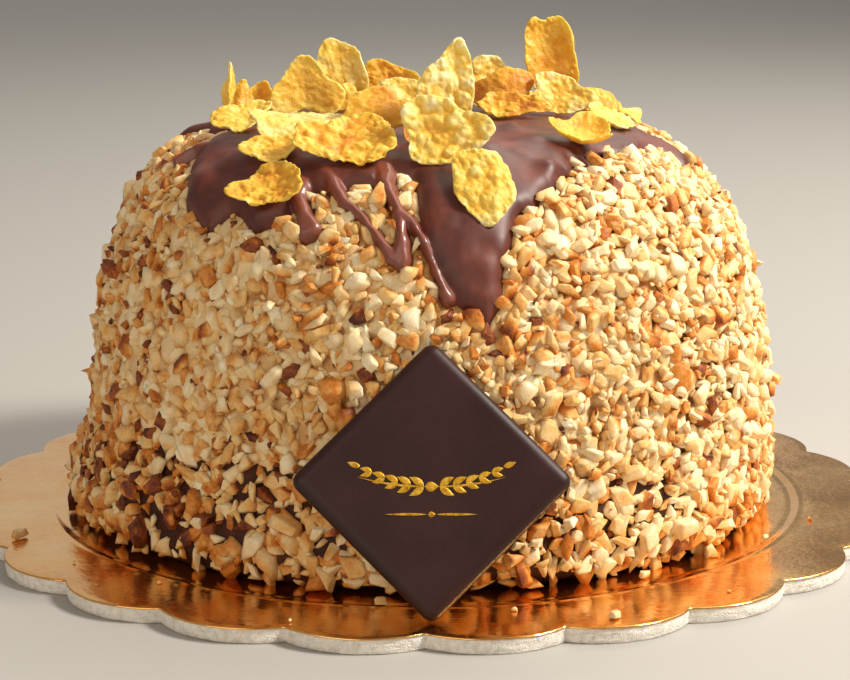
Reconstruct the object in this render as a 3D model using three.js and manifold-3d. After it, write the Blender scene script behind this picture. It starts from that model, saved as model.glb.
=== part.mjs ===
// A whole zuccotto: a domed semifreddo cake rolled in chopped hazelnuts, with chocolate poured
// over its crown, cornflakes on top, a square chocolate plaque leaning on its front, and the
// scalloped gold board that it stands on. Millimetres, +Z up, front towards -Y, origin on the
// underside of the board at its middle. Azimuths are in degrees from the front towards +X.

import * as THREE from "three";
import { mergeVertices } from "three/addons/utils/BufferGeometryUtils.js";
import Module from "manifold-3d";

const wasm = await Module();
wasm.setup();

// ---- driving dimensions -----------------------------------------------------------------

// Board: a ring of round lobes that meet in sharp notches, one of them at the front.
const BOARD_LOBES = 23;
const BOARD_RADIUS = 120;
const BOARD_NOTCH_RADIUS = 115.2;
const BOARD_THICKNESS = 4;
const BOARD_EDGE_ROUND = 0.6;

// Dome, measured over the tips of the nuts: (r / radius)^side + (z / height)^crown = 1.
const DOME_RADIUS = 89.9;
const DOME_HEIGHT = 99;
const DOME_SIDE_POWER = 5.74;
const DOME_CROWN_POWER = 2.53;
const NUT_COAT = 2.3;
const LEAN_LOW = 5.6;
const LEAN_HIGH = -7.6;
const FOOT_HEIGHT = 25;
const FOOT_FULL_HEIGHT = 8;
const FOOT_SPREAD = 3.2;
const FOOT_SPREAD_LEFT = 1.8;
const TUCK_HEIGHT = 6;
const TUCK_DEPTH = 5;

// The dark layer that the dome stands on, a little deeper on the left than on the right.
const LAYER_HEIGHT = 26;
const LAYER_FALL = 0.04;
const LAYER_WAVE = 1.6;
const JOINT_GAP = 0.3;

// Nuts that show from a step away; the crown is covered with chocolate as far as BARE_REACH.
const NUTS_ON_LAYER = 90;
const NUTS_ON_DOME = 168;
const LAYER_NUT_SEED = 7;
const DOME_NUT_SEED = 11;
const BARE_REACH = 50;
const NUT_LARGEST = 6.4;
const NUT_SMALLEST = 4.2;
const NUT_PLAIN_BELOW = 5.6;
const NUT_SINK = 0.38;
const NUT_WIDTH = [0.7, 0.95];
const NUT_DEPTH = [0.6, 0.8];
const NUT_CLEARANCE = 0.6;

// Poured chocolate.
const GLAZE_RISE = 1;
const GLAZE_BEAD = 1.5;
const GLAZE_SHOULDER = 2.4;
const THREAD_SINK = 1.2;
const THREAD_DROP = 0.72;
// Its edge, in mm from the crown along the dome: [azimuth, reach], a tip or a valley at a time.
const GLAZE_EDGE = [
  [-177, 62], [-171, 64], [-168, 79], [-162, 81], [-159, 66], [-153, 60], [-147, 63], [-144, 71],
  [-141, 70], [-138, 60], [-132, 57], [-126, 62], [-123, 84], [-120, 86], [-117, 66], [-108, 58],
  [-105, 67], [-99, 68], [-96, 55], [-85, 56], [-76, 51], [-66, 59], [-58, 69], [-53.5, 75],
  [-50, 80.5], [-41, 85], [-37.2, 79], [-31.5, 83], [-25.5, 80], [-22.5, 69.5], [-8.5, 68],
  [-5.5, 63], [-1.6, 64], [0.2, 85], [1.8, 92.5], [6, 100], [9.4, 104.5], [12.2, 100],
  [13.8, 89], [18.8, 77], [21, 76], [26.5, 71], [34, 66], [39, 60.5], [41.8, 65], [44, 60],
  [52, 57.5], [60, 61], [68, 62], [72, 64], [75, 73], [81, 74], [84, 62], [90, 56], [96, 58],
  [99, 68], [102, 66], [105, 57], [111, 56], [114, 74], [120, 78], [123, 62], [129, 57],
  [135, 60], [138, 72], [144, 70], [147, 60], [153, 58], [159, 62], [162, 86], [168, 88],
  [171, 68],
];
// Threads and drips of chocolate that ran on past the edge: [azimuth, reach] points and a width.
const GLAZE_THREADS = [
  { width: 3.4, path: [[-62, 60], [-66, 67]] },
  { width: 5, path: [[-25.5, 69], [-23, 75], [-20.4, 81]] },
  { width: 2.4, path: [[-18.5, 67], [-14.2, 74.2], [-11, 76.8], [-7.4, 83], [-5.2, 87.5]] },
  { width: 2.8, path: [[-7, 64.5], [-5.2, 71.4], [-3.7, 77], [-3.4, 82], [-4, 88]] },
  { width: 2.2, path: [[-4, 76.4], [-1.8, 77.4], [1, 79]] },
];

// Plaque: a rounded square that stands on one corner and leans back on the dome.
const PLAQUE_SIDE = 45.4;
const PLAQUE_THICKNESS = 4.4;
const PLAQUE_CORNER = 2.8;
const PLAQUE_EDGE_ROUND = 0.9;
const PLAQUE_LEAN = 23;
const PLAQUE_FOOT = { x: 1.5, y: -110 };
const PLAQUE_GAP = 0.1;

// Cornflakes, in the order in which they come to rest. at is the middle in plan; size is across
// and along; tilt is 0 lying and 90 standing; facing is the azimuth that a tilted face looks to;
// spin turns the outline in its own plane; rise is how far its sides and its ends bend up; and
// point is where its outline is drawn out, in degrees from its own right, and by what share.
// Every outline is a little oval and ragged too.
const FLAKE_THICKNESS = 1.3;
const FLAKE_RIPPLE = 0.5;
const FLAKE_OVAL = 0.04;
const FLAKE_RAGGED = 0.05;
const FLAKE_GAP = 0.5;
const FLAKES = [
  { at: [-36, -49], size: [15, 12.5], tilt: 24, facing: -34, spin: 20, rise: [1.6, 0.6], point: [170, 0.1] },
  { at: [-46, -17], size: [14.5, 18], tilt: 20, facing: -40, spin: 20, rise: [1.2, 0.8], point: [60, 0.12] },
  { at: [-36, -63], size: [18, 13], tilt: 38, facing: -26, spin: 18, rise: [1.4, 1], point: [200, 0.14] },
  { at: [-31, -36], size: [23, 17], tilt: 18, facing: 2, spin: -8, rise: [1.5, -0.8], point: [150, 0.12] },
  { at: [-18, -54], size: [24, 18], tilt: 32, facing: 2, spin: -3, rise: [1.4, 1.2], point: [190, 0.12] },
  { at: [13.5, -70.2], size: [14, 21], tilt: 53, facing: 9, spin: 8, rise: [-1, -1.5], point: [250, 0.04] },
  { at: [4.5, -56.5], size: [20.5, 17], tilt: 62, facing: -6, spin: -8, rise: [2, 1.2], point: [255, 0.14] },
  { at: [-3.6, -47], size: [3.6, 6.5], tilt: 72, facing: 10, spin: 10, rise: [0.5, 0.3], point: [90, 0.05] },
  { at: [-12, -38], size: [19.5, 13], tilt: 48, facing: 6, spin: 18, rise: [-2.4, -1], point: [200, 0.16] },
  { at: [5, -41], size: [13.5, 23.5], tilt: 78, facing: 10, spin: -14, rise: [1.4, 1.4], point: [80, 0.1] },
  { at: [-31, 3], size: [18, 15], tilt: 80, facing: 5, spin: 0, rise: [1.1, 0.9], point: [92, 0.24] },
  { at: [-20.5, 8], size: [8, 7], tilt: 72, facing: 20, spin: 30, rise: [0.6, 0.4], point: [300, 0.16] },
  { at: [-22.5, 18], size: [14, 17.5], tilt: 78, facing: -6, spin: 22, rise: [1.2, -1], point: [90, 0.06] },
  { at: [-6.5, 12], size: [12, 9], tilt: 66, facing: 0, spin: 0, rise: [1, 0.6], point: [30, 0.1] },
  { at: [-9.5, 25], size: [17, 11], tilt: 76, facing: -4, spin: -6, rise: [1.4, 0.8], point: [0, 0.1] },
  { at: [-43, 14], size: [7.5, 8], tilt: 74, facing: -10, spin: 0, rise: [0.8, 0.4], point: [90, 0.06] },
  { at: [-48.5, 13], size: [5, 8.5], tilt: 70, facing: 10, spin: -10, rise: [0.5, 0.4], point: [90, 0.06] },
  { at: [-50.5, 3], size: [9, 14], tilt: 84, facing: -72, spin: 4, rise: [0.9, 0.9], point: [90, 0.08] },
  { at: [22.5, -5], size: [18, 8.5], tilt: 42, facing: 2, spin: -4, rise: [1.4, 0.8], point: [350, 0.1] },
  { at: [20.2, 3], size: [17, 11.8], tilt: 74, facing: -6, spin: 4, rise: [-1.6, -1.2], point: [60, 0.12] },
  { at: [16.5, 12], size: [12, 15], tilt: 80, facing: 8, spin: -10, rise: [1, 1], point: [120, 0.06] },
  { at: [35, 3], size: [15.5, 11.5], tilt: 62, facing: 6, spin: -14, rise: [1.2, 0.8], point: [0, 0.1] },
  { at: [33, 13], size: [14, 24], tilt: 84, facing: 4, spin: 12, rise: [1.6, 1.2], point: [260, 0.05] },
  { at: [46, 22], size: [13, 9.5], tilt: 40, facing: 6, spin: -8, rise: [-1.2, -0.8], point: [330, 0.08] },
  { at: [47, -12], size: [13, 10.5], tilt: 30, facing: 48, spin: -30, rise: [1, 0.8], point: [150, 0.1] },
  { at: [54, 10], size: [8, 7.5], tilt: 30, facing: 50, spin: 10, rise: [0.8, 0.4], point: [0, 0.2] },
  { at: [38, -38], size: [16, 13.5], tilt: 18, facing: 14, spin: -10, rise: [4.4, 3], point: [60, 0.14] },
  { at: [3, 44], size: [15, 17], tilt: 10, facing: 170, spin: 30, rise: [1.2, 0.8], point: [20, 0.1] },
  { at: [-27, 38], size: [17, 14], tilt: 14, facing: 200, spin: -20, rise: [1.5, 1], point: [110, 0.12] },
  { at: [27, 36], size: [16, 13], tilt: 12, facing: 150, spin: 10, rise: [-1.4, -0.9], point: [200, 0.1] },
];

// Finishes.
const GOLD_FOIL = { color: 0xc98a45, roughness: 0.28, metalness: 0.9 };
const DARK_LAYER = { color: 0x6b4426, roughness: 0.8, metalness: 0 };
const NUT_CREAM = { color: 0xd9b984, roughness: 0.75, metalness: 0 };
const POURED_CHOCOLATE = { color: 0x53291c, roughness: 0.38, metalness: 0 };
const PLAQUE_CHOCOLATE = { color: 0x35201c, roughness: 0.34, metalness: 0 };
const CORN_YELLOW = { color: 0xe9b53c, roughness: 0.7, metalness: 0 };

// ---- shared geometry --------------------------------------------------------------------

const TURN = 2 * Math.PI;

// A repeatable stream of draws between 0 and 1.
function draws(seed) {
  let state = seed;
  return () => {
    state = (state + 0x6d2b79f5) | 0;
    let mixed = Math.imul(state ^ (state >>> 15), 1 | state);
    mixed = (mixed + Math.imul(mixed ^ (mixed >>> 7), 61 | mixed)) ^ mixed;
    return ((mixed ^ (mixed >>> 14)) >>> 0) / 4294967296;
  };
}

function smoothStep(from, to, value) {
  const t = Math.min(1, Math.max(0, (value - from) / (to - from)));
  return t * t * (3 - 2 * t);
}

// Joins the shared corners of a geometry and drops the faces that have no area.
function weld(geometry) {
  geometry.deleteAttribute("normal");
  geometry.deleteAttribute("uv");
  const merged = mergeVertices(geometry, 1e-4);
  const corners = [];
  const index = merged.index.array;
  for (let i = 0; i < index.length; i += 3) {
    const [a, b, c] = [index[i], index[i + 1], index[i + 2]];
    if (a !== b && b !== c && c !== a) corners.push(a, b, c);
  }
  merged.setIndex(corners);
  return merged;
}

function toSolid(geometry) {
  const welded = weld(geometry);
  const vertProperties = new Float32Array(welded.attributes.position.array);
  const triVerts = new Uint32Array(welded.index.array);
  return new wasm.Manifold(new wasm.Mesh({ numProp: 3, vertProperties, triVerts }));
}

function toGeometry(solid) {
  const mesh = solid.getMesh();
  const geometry = new THREE.BufferGeometry();
  geometry.setAttribute("position", new THREE.BufferAttribute(mesh.vertProperties, 3));
  geometry.setIndex(new THREE.BufferAttribute(mesh.triVerts, 1));
  return geometry;
}

// A body turned about Z whose rows are then set by place(azimuth, row): row 0 and the last row
// lie on the axis, and the rows run from the bottom up the outside.
function turnedBody(rows, segments, place) {
  const profile = [];
  for (let row = 0; row < rows; row += 1) {
    const onAxis = row === 0 || row === rows - 1;
    profile.push(new THREE.Vector2(onAxis ? 0 : 1, row));
  }
  const geometry = new THREE.LatheGeometry(profile, segments);
  const position = geometry.attributes.position;
  for (let i = 0; i < position.count; i += 1) {
    const azimuth = ((Math.floor(i / rows) % segments) / segments) * TURN;
    const point = place(azimuth, i % rows);
    position.setXYZ(i, point.x, point.y, point.z);
  }
  return geometry;
}

// ---- the dome's form --------------------------------------------------------------------

// The outline from the crown down: how far along it, the radius and the height.
function domeOutline() {
  const steps = 600;
  const outline = [{ reach: 0, r: 0, z: DOME_HEIGHT }];
  for (let i = 1; i <= steps; i += 1) {
    const angle = (i / steps) * (Math.PI / 2);
    const r = DOME_RADIUS * Math.sin(angle) ** (2 / DOME_SIDE_POWER);
    const z = DOME_HEIGHT * Math.max(0, Math.cos(angle)) ** (2 / DOME_CROWN_POWER);
    const last = outline[i - 1];
    outline.push({ reach: last.reach + Math.hypot(r - last.r, z - last.z), r, z });
  }
  return outline;
}

const OUTLINE = domeOutline();
const DOME_LENGTH = OUTLINE[OUTLINE.length - 1].reach;

// The radius and height on the outline this far from the crown.
function outlineAtReach(reach) {
  const found = OUTLINE.findIndex((sample) => sample.reach >= reach);
  const next = found < 0 ? OUTLINE.length - 1 : Math.max(1, found);
  const [from, to] = [OUTLINE[next - 1], OUTLINE[next]];
  const t = (reach - from.reach) / (to.reach - from.reach);
  return { r: from.r + (to.r - from.r) * t, z: from.z + (to.z - from.z) * t };
}

function reachAtHeight(z) {
  if (z >= DOME_HEIGHT) return 0;
  if (z <= 0) return DOME_LENGTH;
  const next = OUTLINE.findIndex((sample) => sample.z <= z);
  const [from, to] = [OUTLINE[next - 1], OUTLINE[next]];
  return from.reach + ((to.reach - from.reach) * (z - from.z)) / (to.z - from.z);
}

// The soft cake leans a little, spreads at its foot and turns in where it meets the board.
function slump(r, z, azimuth, share = 1) {
  const level = z / DOME_HEIGHT;
  const lean = LEAN_LOW * level + LEAN_HIGH * level * level;
  const spread = FOOT_SPREAD - FOOT_SPREAD_LEFT * Math.sin(azimuth);
  const foot = spread * smoothStep(FOOT_HEIGHT, FOOT_FULL_HEIGHT, z);
  const tuck = TUCK_DEPTH * Math.max(0, 1 - z / TUCK_HEIGHT) ** 2;
  const out = r + share * (foot - tuck);
  const x = out * Math.sin(azimuth) + lean;
  const y = -out * Math.cos(azimuth);
  return new THREE.Vector3(x, y, z + BOARD_THICKNESS);
}

// The outward direction of the dome's outline, as a radius and a height.
function outlineNormal({ r, z }) {
  const outward = (DOME_SIDE_POWER * (r / DOME_RADIUS) ** (DOME_SIDE_POWER - 1)) / DOME_RADIUS;
  const upward = (DOME_CROWN_POWER * (z / DOME_HEIGHT) ** (DOME_CROWN_POWER - 1)) / DOME_HEIGHT;
  const length = Math.hypot(outward, upward);
  return { r: outward / length, z: upward / length };
}

// A point this far along the dome at this azimuth, raised from the tips of the nuts by rise.
function onDome(azimuth, reach, rise) {
  const base = outlineAtReach(reach);
  const normal = outlineNormal(base);
  return slump(base.r + rise * normal.r, Math.max(0, base.z + rise * normal.z), azimuth);
}

// The height of the dark layer's top above the board, towards this azimuth.
function layerHeight(azimuth) {
  const fall = LAYER_FALL * DOME_RADIUS * Math.sin(azimuth);
  return LAYER_HEIGHT - fall + LAYER_WAVE * Math.cos(3 * azimuth);
}

// ---- board ------------------------------------------------------------------------------

function cakeBoard() {
  const step = TURN / BOARD_LOBES;
  const halfChord = BOARD_NOTCH_RADIUS * Math.sin(step / 2);
  const chordRadius = BOARD_NOTCH_RADIUS * Math.cos(step / 2);
  const bulge = BOARD_RADIUS - chordRadius;
  const lobeRadius = (halfChord ** 2 + bulge ** 2) / (2 * bulge);
  const lobeCentre = BOARD_RADIUS - lobeRadius;
  const halfSweep = Math.asin(halfChord / lobeRadius);
  const outline = new THREE.Shape();
  for (let lobe = 0; lobe < BOARD_LOBES; lobe += 1) {
    const middle = -Math.PI / 2 + (lobe + 0.5) * step;
    const x = lobeCentre * Math.cos(middle);
    const y = lobeCentre * Math.sin(middle);
    outline.absarc(x, y, lobeRadius, middle - halfSweep, middle + halfSweep, false);
  }
  const geometry = new THREE.ExtrudeGeometry(outline, {
    depth: BOARD_THICKNESS - 2 * BOARD_EDGE_ROUND,
    bevelThickness: BOARD_EDGE_ROUND,
    bevelSize: BOARD_EDGE_ROUND,
    bevelOffset: -BOARD_EDGE_ROUND,
    bevelSegments: 1,
    curveSegments: 3,
  });
  return geometry.translate(0, 0, BOARD_EDGE_ROUND);
}

// ---- nuts -------------------------------------------------------------------------------

// One chopped piece: a lopsided lump, turned at random, with fewer sides where it is small.
function nutPiece(size, centre, draw) {
  const half = size / 2;
  const plain = size < NUT_PLAIN_BELOW;
  const lump = plain ? new THREE.OctahedronGeometry(1) : new THREE.IcosahedronGeometry(1);
  const width = THREE.MathUtils.lerp(...NUT_WIDTH, draw());
  const depth = THREE.MathUtils.lerp(...NUT_DEPTH, draw());
  lump.scale(half, half * width, half * depth);
  lump.rotateX(draw() * TURN);
  lump.rotateY(draw() * TURN);
  lump.rotateZ(draw() * TURN);
  return toSolid(lump.translate(centre.x, centre.y, centre.z));
}

// Places for nuts between two reaches: even by area and turned by the golden angle, with the
// largest first.
function nutPlaces(count, fromReach, toReach) {
  const goldenAngle = Math.PI * (3 - Math.sqrt(5));
  const goldenShare = (Math.sqrt(5) - 1) / 2;
  const slices = 400;
  const areas = [0];
  for (let i = 0; i < slices; i += 1) {
    const reach = fromReach + ((toReach - fromReach) * (i + 0.5)) / slices;
    areas.push(areas[i] + outlineAtReach(reach).r);
  }
  const places = [];
  for (let i = 0; i < count; i += 1) {
    const wanted = (areas[slices] * (((i * goldenShare) % 1) * count + 0.5)) / (count + 1);
    const slice = areas.findIndex((area) => area >= wanted);
    const reach = fromReach + ((toReach - fromReach) * slice) / slices;
    const rank = Math.round((wanted / areas[slices]) * count);
    const azimuth = ((rank * goldenAngle) % TURN) - Math.PI;
    const size = NUT_LARGEST + (NUT_SMALLEST - NUT_LARGEST) * (i / count);
    places.push({ azimuth, reach, size });
  }
  return places;
}

// Fuses a nut to the core at each place where keep says that there is room for it.
function fuseNuts(core, places, seed, keep) {
  const draw = draws(seed);
  let body = core;
  for (const { azimuth, reach, size } of places) {
    const centre = onDome(azimuth, reach, -NUT_SINK * size);
    if (keep(centre, size, azimuth, reach)) body = body.add(nutPiece(size, centre, draw));
  }
  return toGeometry(body);
}

// ---- dark layer and dome ----------------------------------------------------------------

const CORE_SEGMENTS = 48;

// A point on the core's skin between two heights, t = 0 at the lower one.
function coreSkin(azimuth, fromHeight, toHeight, t, extra = 0) {
  const z = fromHeight + (toHeight - fromHeight) * t;
  const outer = outlineAtReach(reachAtHeight(z));
  const normal = outlineNormal(outer);
  const rise = extra - NUT_COAT;
  return slump(outer.r + rise * normal.r, Math.max(0, outer.z + rise * normal.z), azimuth);
}

function middleAt(height) {
  return slump(0, height, 0, 0);
}

function chocolateBase() {
  const levels = [0, 0.1, 0.22, 0.55, 1];
  const rows = levels.length + 2;
  return turnedBody(rows, CORE_SEGMENTS, (azimuth, row) => {
    if (row === 0) return middleAt(0);
    if (row === rows - 1) return middleAt(LAYER_HEIGHT);
    return coreSkin(azimuth, 0, layerHeight(azimuth), levels[row - 1]);
  });
}

// The core above the dark layer; extra swells it, to cut the glaze clear of it.
function domeCore(extra) {
  const levels = [0, 0.22, 0.44, 0.62, 0.76, 0.86, 0.93, 0.975];
  const rows = levels.length + 2;
  return turnedBody(rows, CORE_SEGMENTS, (azimuth, row) => {
    if (row === 0) return middleAt(LAYER_HEIGHT + JOINT_GAP);
    if (row === rows - 1) return middleAt(DOME_HEIGHT - NUT_COAT + extra);
    const start = layerHeight(azimuth) + JOINT_GAP;
    return coreSkin(azimuth, start, DOME_HEIGHT, levels[row - 1], extra);
  });
}

// ---- poured chocolate -------------------------------------------------------------------

// How far down the glaze reaches at an azimuth: smooth between its tips and valleys.
function glazeReach(azimuth) {
  const degrees = ((((THREE.MathUtils.radToDeg(azimuth) + 180) % 360) + 360) % 360) - 180;
  const first = GLAZE_EDGE[0];
  const knots = [...GLAZE_EDGE, [first[0] + 360, first[1]]];
  const last = GLAZE_EDGE[GLAZE_EDGE.length - 1];
  if (degrees < first[0]) knots.unshift([last[0] - 360, last[1]]);
  const next = knots.findIndex((knot, i) => i > 0 && knot[0] >= degrees);
  const [from, to] = [knots[next - 1], knots[next]];
  return from[1] + (to[1] - from[1]) * smoothStep(from[0], to[0], degrees);
}

// The glaze as a plug that reaches well into the dome: its edge is round, and its rows above
// that lie at fixed shares of the way down from the crown.
function glazeCap() {
  const segments = 120;
  const centreHeight = 30;
  const shares = [0.92, 0.78, 0.6, 0.4, 0.2];
  const edge = [
    { back: 3, rise: -7 },
    { back: 0, rise: -NUT_COAT - JOINT_GAP },
    { back: 0.6, rise: -GLAZE_BEAD / 2 },
    { back: GLAZE_SHOULDER, rise: GLAZE_RISE },
  ];
  const rows = edge.length + shares.length + 2;
  return turnedBody(rows, segments, (azimuth, row) => {
    if (row === 0) return middleAt(centreHeight);
    if (row === rows - 1) return middleAt(DOME_HEIGHT + GLAZE_RISE);
    const reach = glazeReach(azimuth);
    if (row <= edge.length) {
      const { back, rise } = edge[row - 1];
      return onDome(azimuth, reach - back, rise);
    }
    const share = shares[row - 1 - edge.length];
    return onDome(azimuth, (reach - GLAZE_SHOULDER) * share, GLAZE_RISE);
  });
}

// A thread of chocolate: a six-sided bar swept along the dome, with a drop at its end.
function glazeThread({ width, path }) {
  const sides = 6;
  const points = path.map(([degrees, reach]) =>
    onDome(THREE.MathUtils.degToRad(degrees), reach, -THREAD_SINK),
  );
  const corners = [];
  for (let i = 0; i < sides; i += 1) {
    const angle = (i / sides) * TURN;
    corners.push(new THREE.Vector2(Math.cos(angle), Math.sin(angle)).multiplyScalar(width / 2));
  }
  const bar = new THREE.ExtrudeGeometry(new THREE.Shape(corners), {
    steps: 2 * (points.length - 1),
    extrudePath: new THREE.CatmullRomCurve3(points),
  });
  const end = points[points.length - 1];
  const drop = new THREE.IcosahedronGeometry(width * THREAD_DROP);
  return toSolid(bar).add(toSolid(drop.translate(end.x, end.y, end.z)));
}

function chocolateGlaze() {
  let body = toSolid(glazeCap());
  for (const thread of GLAZE_THREADS) body = body.add(glazeThread(thread));
  const clearCore = toSolid(domeCore(JOINT_GAP));
  return toGeometry(body.subtract(clearCore));
}

// ---- plaque -----------------------------------------------------------------------------

const PLAQUE_TURN = new THREE.Matrix4()
  .makeRotationX(Math.PI / 2 - THREE.MathUtils.degToRad(PLAQUE_LEAN))
  .multiply(new THREE.Matrix4().makeRotationZ(Math.PI / 4));

function plaqueBlank() {
  const half = PLAQUE_SIDE / 2 - PLAQUE_CORNER;
  const outline = new THREE.Shape();
  outline.absarc(half, half, PLAQUE_CORNER, 0, Math.PI / 2, false);
  outline.absarc(-half, half, PLAQUE_CORNER, Math.PI / 2, Math.PI, false);
  outline.absarc(-half, -half, PLAQUE_CORNER, Math.PI, 1.5 * Math.PI, false);
  outline.absarc(half, -half, PLAQUE_CORNER, 1.5 * Math.PI, TURN, false);
  const geometry = new THREE.ExtrudeGeometry(outline, {
    depth: PLAQUE_THICKNESS - 2 * PLAQUE_EDGE_ROUND,
    bevelThickness: PLAQUE_EDGE_ROUND,
    bevelSize: PLAQUE_EDGE_ROUND,
    bevelOffset: -PLAQUE_EDGE_ROUND,
    bevelSegments: 2,
    curveSegments: 2,
  });
  geometry.translate(0, 0, PLAQUE_EDGE_ROUND - PLAQUE_THICKNESS / 2);
  return geometry.applyMatrix4(PLAQUE_TURN);
}

// The blank's foot set on the board, a hair above it.
function plaqueCentre() {
  const blank = plaqueBlank();
  blank.computeBoundingBox();
  const halfDiagonal = PLAQUE_SIDE / Math.SQRT2;
  const back = halfDiagonal * Math.sin(THREE.MathUtils.degToRad(PLAQUE_LEAN));
  const z = BOARD_THICKNESS + PLAQUE_GAP - blank.boundingBox.min.z;
  return new THREE.Vector3(PLAQUE_FOOT.x, PLAQUE_FOOT.y + back, z);
}

const PLAQUE_CENTRE = plaqueCentre();

function chocolatePlaque() {
  return plaqueBlank().translate(PLAQUE_CENTRE.x, PLAQUE_CENTRE.y, PLAQUE_CENTRE.z);
}

// Whether a nut of this size would come too close to the plaque.
function meetsPlaque(centre, size) {
  const local = centre.clone().sub(PLAQUE_CENTRE).applyMatrix4(PLAQUE_TURN.clone().invert());
  const reach = size / 2 + NUT_CLEARANCE;
  const inSquare = Math.max(Math.abs(local.x), Math.abs(local.y)) < PLAQUE_SIDE / 2 + reach;
  return inSquare && Math.abs(local.z) < PLAQUE_THICKNESS / 2 + reach;
}

// ---- cornflakes -------------------------------------------------------------------------

// A flake before it is laid down: a flattened ball with a wandering outline, bent and rippled.
function flakeBlank({ size, rise, point }, number) {
  const draw = draws(100 + number);
  const [turn2, turn5, wave] = [draw() * TURN, draw() * TURN, draw() * TURN];
  const drawnTo = THREE.MathUtils.degToRad(point[0]);
  const geometry = new THREE.SphereGeometry(1, 10, 4);
  geometry.rotateX(Math.PI / 2);
  const position = geometry.attributes.position;
  for (let i = 0; i < position.count; i += 1) {
    const [x, y, z] = [position.getX(i), position.getY(i), position.getZ(i)];
    const angle = Math.atan2(y, x);
    const outline =
      1 +
      FLAKE_OVAL * Math.cos(2 * angle + turn2) +
      point[1] * Math.cos(3 * (angle - drawnTo)) +
      FLAKE_RAGGED * Math.cos(5 * angle + turn5);
    const across = x * outline;
    const along = y * outline;
    const ripple = FLAKE_RIPPLE * Math.sin(3 * across + wave);
    const lift = rise[0] * across * across + rise[1] * along * along + ripple;
    const thickness = (FLAKE_THICKNESS / 2) * Math.sign(z) * Math.sqrt(Math.abs(z));
    position.setXYZ(i, (size[0] / 2) * across, (size[1] / 2) * along, lift + thickness);
  }
  return geometry;
}

function turnedFlake(flake, number) {
  const geometry = flakeBlank(flake, number);
  geometry.rotateZ(THREE.MathUtils.degToRad(flake.spin));
  geometry.rotateX(THREE.MathUtils.degToRad(flake.tilt));
  geometry.rotateZ(THREE.MathUtils.degToRad(flake.facing));
  return geometry.translate(flake.at[0], flake.at[1], 0);
}

// The least upright distance from the corners of one mesh to the faces of another.
function leastDrop(corners, direction, target) {
  const ray = new THREE.Raycaster();
  const from = new THREE.Vector3();
  let least = Infinity;
  for (let i = 0; i < corners.count; i += 1) {
    from.fromBufferAttribute(corners, i);
    ray.set(from, direction);
    const [hit] = ray.intersectObject(target);
    if (hit) least = Math.min(least, hit.distance);
  }
  return least;
}

// Lets a flake down from above until it lies just clear of what is there already.
function letDown(geometry, support) {
  const above = 200;
  geometry.translate(0, 0, above);
  const bothSides = new THREE.MeshBasicMaterial({ side: THREE.DoubleSide });
  const flake = new THREE.Mesh(geometry, bothSides);
  const down = new THREE.Vector3(0, 0, -1);
  const up = new THREE.Vector3(0, 0, 1);
  let drop = Infinity;
  for (const under of support) {
    const target = new THREE.Mesh(under, bothSides);
    drop = Math.min(drop, leastDrop(geometry.attributes.position, down, target));
    drop = Math.min(drop, leastDrop(under.attributes.position, up, flake));
  }
  return geometry.translate(0, 0, FLAKE_GAP - drop);
}

// ---- assembly ---------------------------------------------------------------------------

const cake = new THREE.Group();

function addPart(name, geometry, finish) {
  const welded = weld(geometry);
  welded.computeVertexNormals();
  const mesh = new THREE.Mesh(welded, new THREE.MeshStandardMaterial(finish));
  mesh.name = name;
  cake.add(mesh);
  return welded;
}

const layerTopReach = reachAtHeight(LAYER_HEIGHT);

// Whether a nut stays off the joint between the dark layer and the dome.
function clearOfLayerTop(centre, size, azimuth) {
  const height = centre.z - BOARD_THICKNESS - layerHeight(azimuth);
  return Math.abs(height) > size / 2 + JOINT_GAP;
}

// How far a place on the dome is from a thread's path, both laid out flat.
function distanceFromPath(azimuth, reach, path) {
  const flat = (degrees, along) =>
    new THREE.Vector2(THREE.MathUtils.degToRad(degrees) * outlineAtReach(along).r, along);
  const place = flat(THREE.MathUtils.radToDeg(azimuth), reach);
  let least = Infinity;
  for (let i = 1; i < path.length; i += 1) {
    const start = flat(...path[i - 1]);
    const span = flat(...path[i]).sub(start);
    const share = place.clone().sub(start).dot(span) / span.lengthSq();
    const nearest = start.addScaledVector(span, Math.min(1, Math.max(0, share)));
    least = Math.min(least, nearest.distanceTo(place));
  }
  return least;
}

// Whether a nut stays off the glaze: its edge, looked at on both sides too, and its threads.
function clearOfGlaze(size, azimuth, reach) {
  const room = size / 2 + NUT_CLEARANCE;
  const clearOfThreads = GLAZE_THREADS.every(
    ({ width, path }) => distanceFromPath(azimuth, reach, path) > width + room,
  );
  const clearOfEdge = [-1, -0.7, 0, 0.7, 1].every((side) => {
    const aside = azimuth + (side * room) / outlineAtReach(reach).r;
    return reach > glazeReach(aside) + room * Math.sqrt(1 - side * side);
  });
  return clearOfThreads && clearOfEdge;
}

addPart("cake_board", cakeBoard(), GOLD_FOIL);

function fitsOnLayer(centre, size, azimuth) {
  return (
    centre.z - size / 2 > BOARD_THICKNESS + JOINT_GAP &&
    centre.z < BOARD_THICKNESS + layerHeight(azimuth) &&
    clearOfLayerTop(centre, size, azimuth) &&
    !meetsPlaque(centre, size)
  );
}

function fitsOnDome(centre, size, azimuth, reach) {
  return (
    centre.z > BOARD_THICKNESS + layerHeight(azimuth) &&
    clearOfLayerTop(centre, size, azimuth) &&
    clearOfGlaze(size, azimuth, reach) &&
    !meetsPlaque(centre, size)
  );
}

const layerNuts = nutPlaces(NUTS_ON_LAYER, layerTopReach, DOME_LENGTH - NUT_LARGEST);
const layer = fuseNuts(toSolid(chocolateBase()), layerNuts, LAYER_NUT_SEED, fitsOnLayer);
addPart("chocolate_base", layer, DARK_LAYER);

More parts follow.
